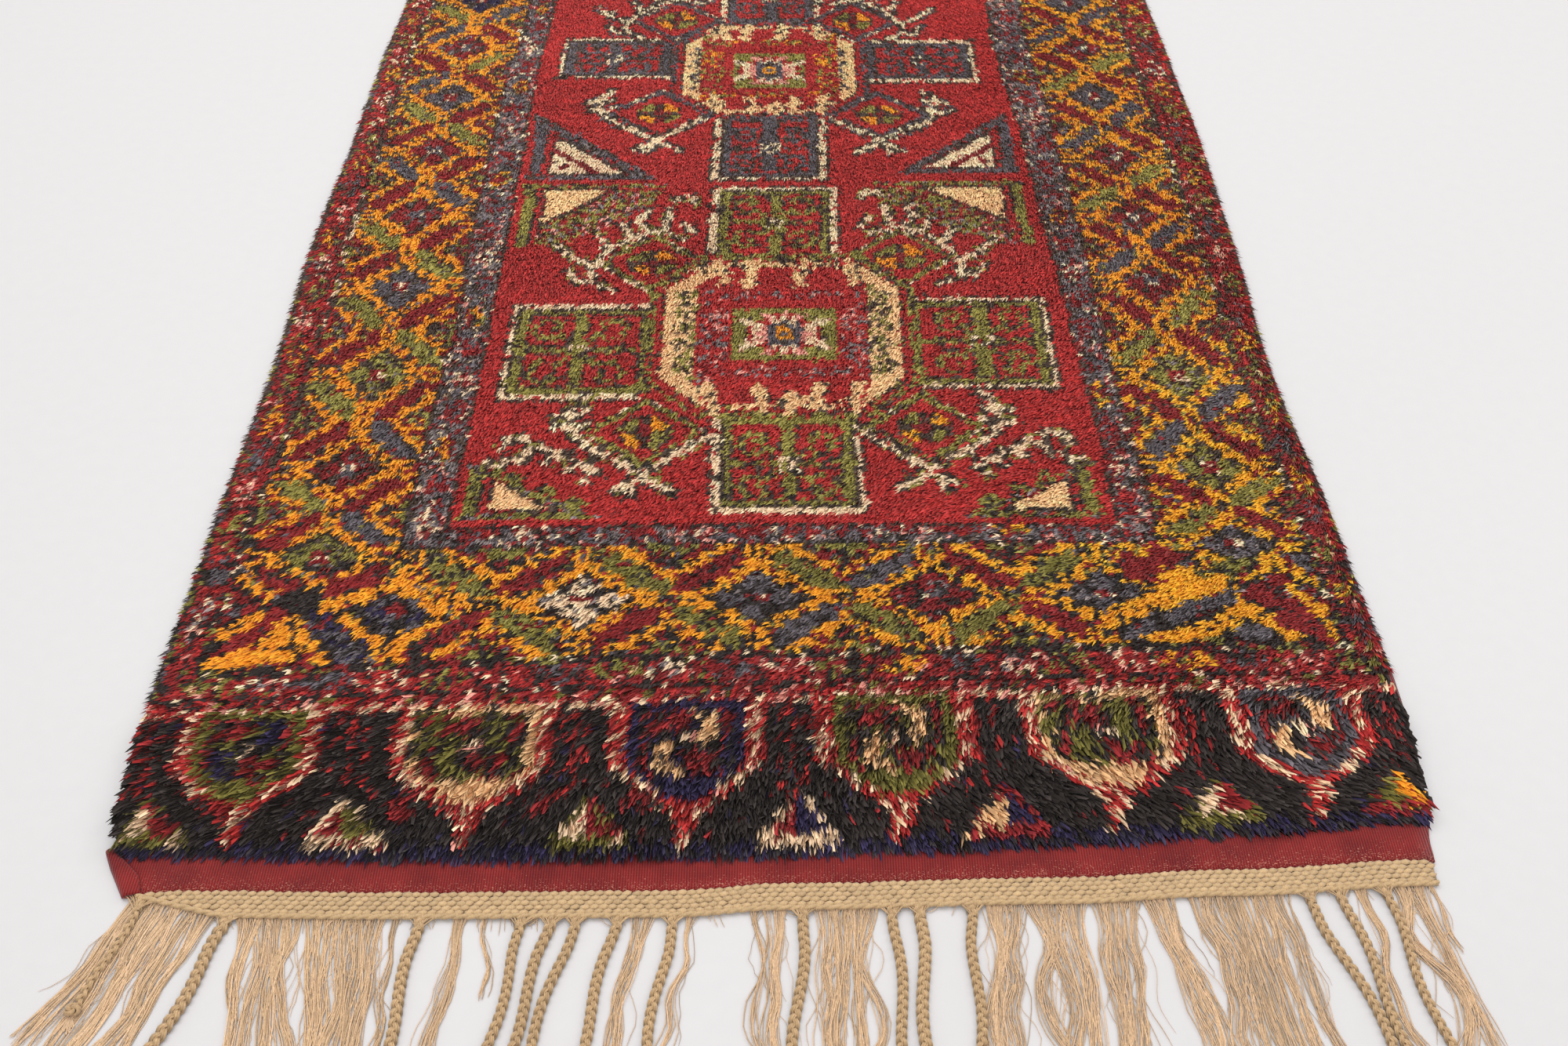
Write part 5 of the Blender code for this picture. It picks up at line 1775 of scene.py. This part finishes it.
@dataclass
class Fringe:
    """The free warps past a band, loose or plaited in threes.

    Each wander of a loose yarn has its span, its size, and whether the yarns of a bundle share it.
    """

    band: PlaitedBand
    yarns_per_strand: int = 9
    seen: float = 0.125
    yarn_radius: float = 0.00060
    wander: tuple = ((0.130, 3.0, True), (0.060, 1.1, True), (0.075, 1.2, False), (0.016, 0.4, False))
    wisp_radius: float = 0.00036
    fray_radius: float = 0.00045
    far_yarns: int = 330
    frays: int = 110
    braid_radius: float = 0.00118
    braid_swing: float = 0.0027
    braid_period: float = 0.0255
    braid_rise: float = 0.0017
    gathered: int = 15
    knot_radius: float = 0.0015
    cut_ends: int = 14
    seed: int = 17
    work: YarnWork = field(default_factory=YarnWork)
    chance: np.random.Generator = field(init=False)

    def __post_init__(self) -> None:
        """Starts the random source."""
        self.chance = np.random.default_rng(self.seed)

    def root_y(self, x: Array) -> Array:
        """Returns where the yarns leave the band."""
        return self.band.top(x) + self.band.way * (self.band.depth * self.band.open(x) - 0.001)

    def loose(self, root: Array, out: Array, length: Array, bundle: Array, stations: int,
              radius: float, stray: float) -> None:
        """Lays loose yarns from the band out over the floor.

        Args:
            root: Where each leaves the band.
            out: Where each lies further out.
            length: How long each is.
            bundle: The number of the bundle that each lies in.
            stations: How many points each has.
            radius: The yarn's radius.
            stray: How far a yarn wanders.
        """
        chance, count = self.chance, len(root)
        s = np.linspace(0.0, 1.0, stations)[None, :]
        reach = length[:, None] * s
        drift = (out - root)[:, None] * np.minimum(1.3, reach / self.seen)
        grown = unit(reach / 0.05)
        wander = np.zeros((count, stations))
        bundles = int(bundle.max()) + 1
        middle = np.bincount(bundle, root, bundles) / np.maximum(1, np.bincount(bundle, minlength=bundles))
        for span, size, shared in self.wander:
            owner = bundle if shared else np.arange(count)
            phase = chance.uniform(0.0, 6.3, count)[owner][:, None]
            size = size * chance.normal(0.0, 1.0, count)[owner][:, None]
            wander += size * np.sin(2 * np.pi * reach / span + phase)
        splayed = (root - middle[bundle])[:, None] * np.exp(-reach / 0.016)
        x = np.clip(root[:, None] + splayed, -0.578, 0.589) + drift + stray * wander * grown
        straight = np.sqrt(np.clip(1 - (drift / (length[:, None] + 1e-9)) ** 2, 0.2, 1.0))
        y = self.root_y(root)[:, None] + self.band.way * reach * straight
        lift = abs(chance.normal(0.0, 0.0007, (count, 1))) * np.sin(np.pi * s) ** 2
        hump = abs(np.sin(2 * np.pi * reach / 0.06 + chance.uniform(0.0, 6.3, (count, 1))))
        z = radius + lift + 0.0006 * hump * grown + 0.0018 * np.exp(-reach / 0.006)
        radii = radius * chance.uniform(0.8, 1.2, (count, 1))
        radii = radii * (1.0 - 0.55 * np.clip((s - 0.85) / 0.15, 0, 1))
        tone = 1.0 + 0.16 * np.clip(chance.normal(0.0, 1.0, (count, 1, 1)), -2.0, 1.1)
        warm = chance.uniform(0.0, 1.0, (count, 1, 1))
        shade = FRINGE_YARN * (1 - warm * 0.7) + BRAID_YARN * warm * 0.7
        # Painted shade: the yarns painted darker over their first 25 mm from the band.
        shade = shade * tone * (0.78 + 0.22 * unit(grown * 2.0)[..., None])
        shade = np.repeat(shade[:, :, None, :], 3, axis=2).reshape(-1, 3)
        self.work.strands(np.stack((x, y, z), axis=2), radii, 3, shade)

    def braid(self, plait: Plait) -> None:
        """Lays one plait of three strands."""
        chance = self.chance
        steps = int(plait.length / (self.braid_period / 10)) + 1
        reach = plait.length * np.linspace(0.0, 1.0, steps)
        lean = (plait.out - plait.root) / self.seen
        down = reach / math.sqrt(1.0 + lean ** 2)
        curve = 0.0034 * chance.choice((-1.0, 1.0))
        curve = curve * np.sin(2 * np.pi * reach / 0.15 + chance.uniform(0.0, 6.3))
        middle_x = plait.root + lean * down + curve * unit(reach / 0.04)
        middle_y = float(self.root_y(np.array([plait.root]))[0]) + self.band.way * down
        start = chance.uniform(0.0, 6.3)
        stout = plait.stout * chance.uniform(0.92, 1.08)
        tight = 0.55 + 0.45 * unit(reach / 0.012)
        radius = self.braid_radius * stout * (0.8 + 0.2 * tight)
        for strand in range(3):
            turn = 2 * np.pi * reach / self.braid_period + strand * 2 * np.pi / 3 + start
            over = self.braid_rise * np.sin(2 * turn)
            # Painted shade: a strand painted darker where it dips under the others and at the plait's sides.
            edge = np.repeat(0.84 + 0.24 * over / self.braid_rise - 0.10 * abs(np.sin(turn)) ** 4, 4)
            for yarn in (-1.0, 0.0, 1.0):
                aside = (self.braid_swing * np.sin(turn) + yarn * self.braid_radius * 1.3) * tight * stout
                path = np.stack((middle_x + aside, middle_y - self.band.way * aside * lean,
                                 0.0034 + over - 0.0005 * abs(yarn)), axis=1)
                light = 1.0 + 0.07 * chance.normal()
                light = light * np.repeat(1.0 + 0.04 * chance.normal(0.0, 1.0, steps), 4)
                self.work.strands(path, radius, 4, BRAID_YARN * (light * edge)[:, None], 0.9)
        if plait.length < 0.12:
            self.knot(middle_x[-1], middle_y[-1])
        self.gather(plait.root, middle_x, middle_y)

    def gather(self, root: float, middle_x: Array, middle_y: Array) -> None:
        """Lays the warps that run together along the band's edge into a plait.

        Args:
            root: Where the plait leaves the band.
            middle_x: The plait's x at each of its stations.
            middle_y: Its y there.
        """
        chance, count, stations, join = self.chance, self.gathered, 7, 6
        roots = root + np.linspace(-1.0, 1.0, count) * 0.016 + chance.normal(0.0, 0.001, count)
        s = np.linspace(0.0, 1.0, stations)[None, :]
        bow = s ** chance.uniform(0.6, 0.9, (count, 1))
        x = roots[:, None] * (1 - bow) + (middle_x[join] + chance.normal(0.0, 0.0012, (count, 1))) * bow
        start = self.root_y(roots)[:, None]
        y = start + (middle_y[join] - start) * s
        z = 0.0030 + 0.0016 * np.sin(np.pi * s * 0.5) + np.zeros_like(x)
        light = np.repeat(0.98 + 0.12 * chance.normal(0.0, 1.0, count), stations * 3)[:, None]
        self.work.strands(np.stack((x, y, z), axis=2), self.yarn_radius * 1.25, 3, BRAID_YARN * light)

    def knot(self, x: float, y: float) -> None:
        """Ties a small overhand knot at a plait's end, with the cut ends past it."""
        turn = np.linspace(0.0, 4 * np.pi, 36)
        for yarn in range(3):
            swing = 0.0030 + 0.0019 * np.cos(1.5 * turn + 2 * yarn)
            path = np.stack((x - 0.002 + swing * np.cos(turn + yarn) * 1.3,
                             y - 0.003 + swing * np.sin(turn + yarn),
                             0.0048 + 0.0018 * np.sin(1.5 * turn + 2 * yarn)), axis=1)
            self.work.strands(path, self.knot_radius, 5, BRAID_YARN * 0.92)
        s = np.linspace(0.0, 1.0, 5)[None, :]
        end_x = x - 0.003 + self.chance.normal(0.0, 0.004, (self.cut_ends, 1)) * s
        end_y = y - 0.006 - 0.018 * s * self.chance.uniform(0.6, 1.0, (self.cut_ends, 1))
        ends = np.stack((end_x, end_y, np.full_like(end_x, 0.0014)), axis=2)
        self.work.strands(ends, 0.0008, 3, FRINGE_YARN * 0.9)

    def build(self, material: bpy.types.Material) -> None:
        """Makes the fringe of the given warp yarn."""
        if self.band.near:
            for part in HANKS:
                if isinstance(part, Plait):
                    self.braid(part)
                else:
                    self.hank(part)
            self.broken_yarns()
        else:
            self.far_side()
        end = "near" if self.band.near else "far"
        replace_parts(self.work.finish(f"free_warps_{end}", material), f"fringe_{end}")

    def far_side(self) -> None:
        """Lays the plain fringe of the far end, in small bundles."""
        chance, number = self.chance, self.far_yarns
        root = np.linspace(-0.592, 0.588, number) + chance.normal(0.0, 0.0012, number)
        out = root + 0.006 * np.sin(0.06 * np.arange(number)) + chance.normal(0.0, 0.002, number)
        length = chance.uniform(0.155, 0.176, number)
        self.loose(root, out, length, np.arange(number) // 4, 8, self.yarn_radius * 1.8, 0.0006)

    def hank(self, hank: Hank) -> None:
        """Lays one loose hank: its yarns, gathered in small bundles, and a few fine wisps."""
        chance, number = self.chance, hank.strands * self.yarns_per_strand
        share = np.sort(chance.uniform(0.0, 1.0, number))
        width = hank.root_to - hank.root_from
        bundles = max(1, hank.strands // 2)
        bundle = np.minimum(bundles - 1, (share * bundles).astype(int))
        root = hank.root_from + width * share + chance.normal(0.0, 0.0009, number)
        pulled = share * 0.55 + (np.floor(share * bundles) + 0.5) / bundles * 0.45
        swung = chance.normal(0.0, 0.0034, bundles)[bundle]
        out = hank.out_from + (hank.out_to - hank.out_from) * pulled + swung
        out = out + chance.normal(0.0, 0.003, number)
        length = hank.length * chance.uniform(0.90, 1.01, number)
        self.loose(root, out, length, bundle, 15, self.yarn_radius, 0.0012)
        wisps = max(1, hank.strands * 3 // 2)
        root = hank.root_from + width * chance.uniform(0.0, 1.0, wisps)
        out = root + (hank.out_from - hank.root_from) + chance.normal(0.0, 0.010, wisps)
        length = hank.length * chance.uniform(0.5, 0.95, wisps)
        self.loose(root, out, length, np.arange(wisps), 14, self.wisp_radius, 0.0020)

    def broken_yarns(self) -> None:
        """Lays the short broken yarns that stick out under the band."""
        chance, number = self.chance, self.frays
        root = chance.uniform(-0.568, 0.580, number)
        out = root + chance.normal(0.0, 0.050, number)
        length = chance.uniform(0.008, 0.022, number)
        self.loose(root, out, length, np.arange(number), 5, self.fray_radius, 0.0010)


@dataclass
class Studio:
    """The pale floor, the soft light and the camera."""

    floor_size: float = 14.0
    camera_place: tuple[float, float, float] = (0.0, -1.7995, 1.2255)
    pitch: float = 43.19
    yaw: float = -0.20
    lens: float = 35.0
    air: tuple[float, float, float, float] = (1.0, 0.985, 0.975, 1.0)
    air_strength: float = 0.76

    def build(self) -> None:
        """Sets up the floor, the lights and the camera."""
        self.floor()
        world = bpy.data.worlds.new("Studio air")
        bpy.context.scene.world = world
        world.use_nodes = True
        world.node_tree.nodes["Background"].inputs["Color"].default_value = self.air
        world.node_tree.nodes["Background"].inputs["Strength"].default_value = self.air_strength
        self.light("Overhead softbox", (-0.8, 0.8, 3.2), 3.2, 70.0, (0.0, 0.1, 0.0))
        self.light("Front softbox", (0.4, -3.4, 2.6), 2.0, 26.0, (0.1, 0.6, 0.0))
        self.light("Side softbox", (2.5, 0.7, 2.4), 1.8, 24.0, (0.1, 0.0, 0.0))
        data = bpy.data.cameras.new("Camera")
        data.lens, data.sensor_width, data.sensor_fit = self.lens, 36.0, "HORIZONTAL"
        camera = bpy.data.objects.new("Camera", data)
        bpy.context.scene.collection.objects.link(camera)
        camera.location = Vector(self.camera_place) + SHIFT
        camera.rotation_euler = (math.radians(self.pitch), 0.0, math.radians(self.yaw))
        bpy.context.scene.camera = camera
        bpy.context.scene.view_settings.view_transform = "Standard"

    def light(self, name: str, place: tuple, size: float, power: float, aim: tuple) -> None:
        """Hangs one soft light.

        Args:
            name: Its name.
            place: Where it hangs.
            size: How wide it is.
            power: Its power in watts.
            aim: The point that it faces.
        """
        data = bpy.data.lights.new(name, "AREA")
        data.shape, data.size, data.energy = "SQUARE", size, power
        lamp = bpy.data.objects.new(name, data)
        bpy.context.scene.collection.objects.link(lamp)
        lamp.location = place
        lamp.rotation_euler = (Vector(aim) - Vector(place)).to_track_quat("-Z", "Y").to_euler()

    def floor(self) -> None:
        """Lays the pale floor, faintly glossy."""
        deselect_all()
        bpy.ops.mesh.primitive_plane_add(size=self.floor_size, location=(0.0, 0.0, -0.0002))
        floor = bpy.context.object
        floor.name = floor.data.name = "studio_floor"
        bpy.ops.object.transform_apply(location=True)
        material, graph, shader = new_material("painted_floor", 0.42, 0.0, 0.35)
        place = graph.add("TexCoord").outputs["Object"]
        grain = graph.noise(place, 60.0, 3.0)
        tone = graph.mixed(grain, linear(204, 202, 203), linear(208, 206, 207))
        graph.dress(shader, tone, grain, 0.08, 0.001)
        floor.data.materials.append(material)


def main() -> None:
    """Builds the rug part by part, then the studio."""
    logging.basicConfig(level=logging.INFO, format="%(name)s %(message)s")
    Studio().build()
    fibre = fibre_group()
    ground, flap = GroundWeave().build(WeaveFinish().build())
    pile = Pile(Cartoon(), fibre).build()
    for piece in (ground, flap, *pile):
        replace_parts(piece, "woven_rug")
    yarn = YarnFinish().build(fibre)
    for near in (True, False):
        band = PlaitedBand(near)
        band.build(yarn)
        Fringe(band).build(yarn)


if __name__ == "__main__":
    main()
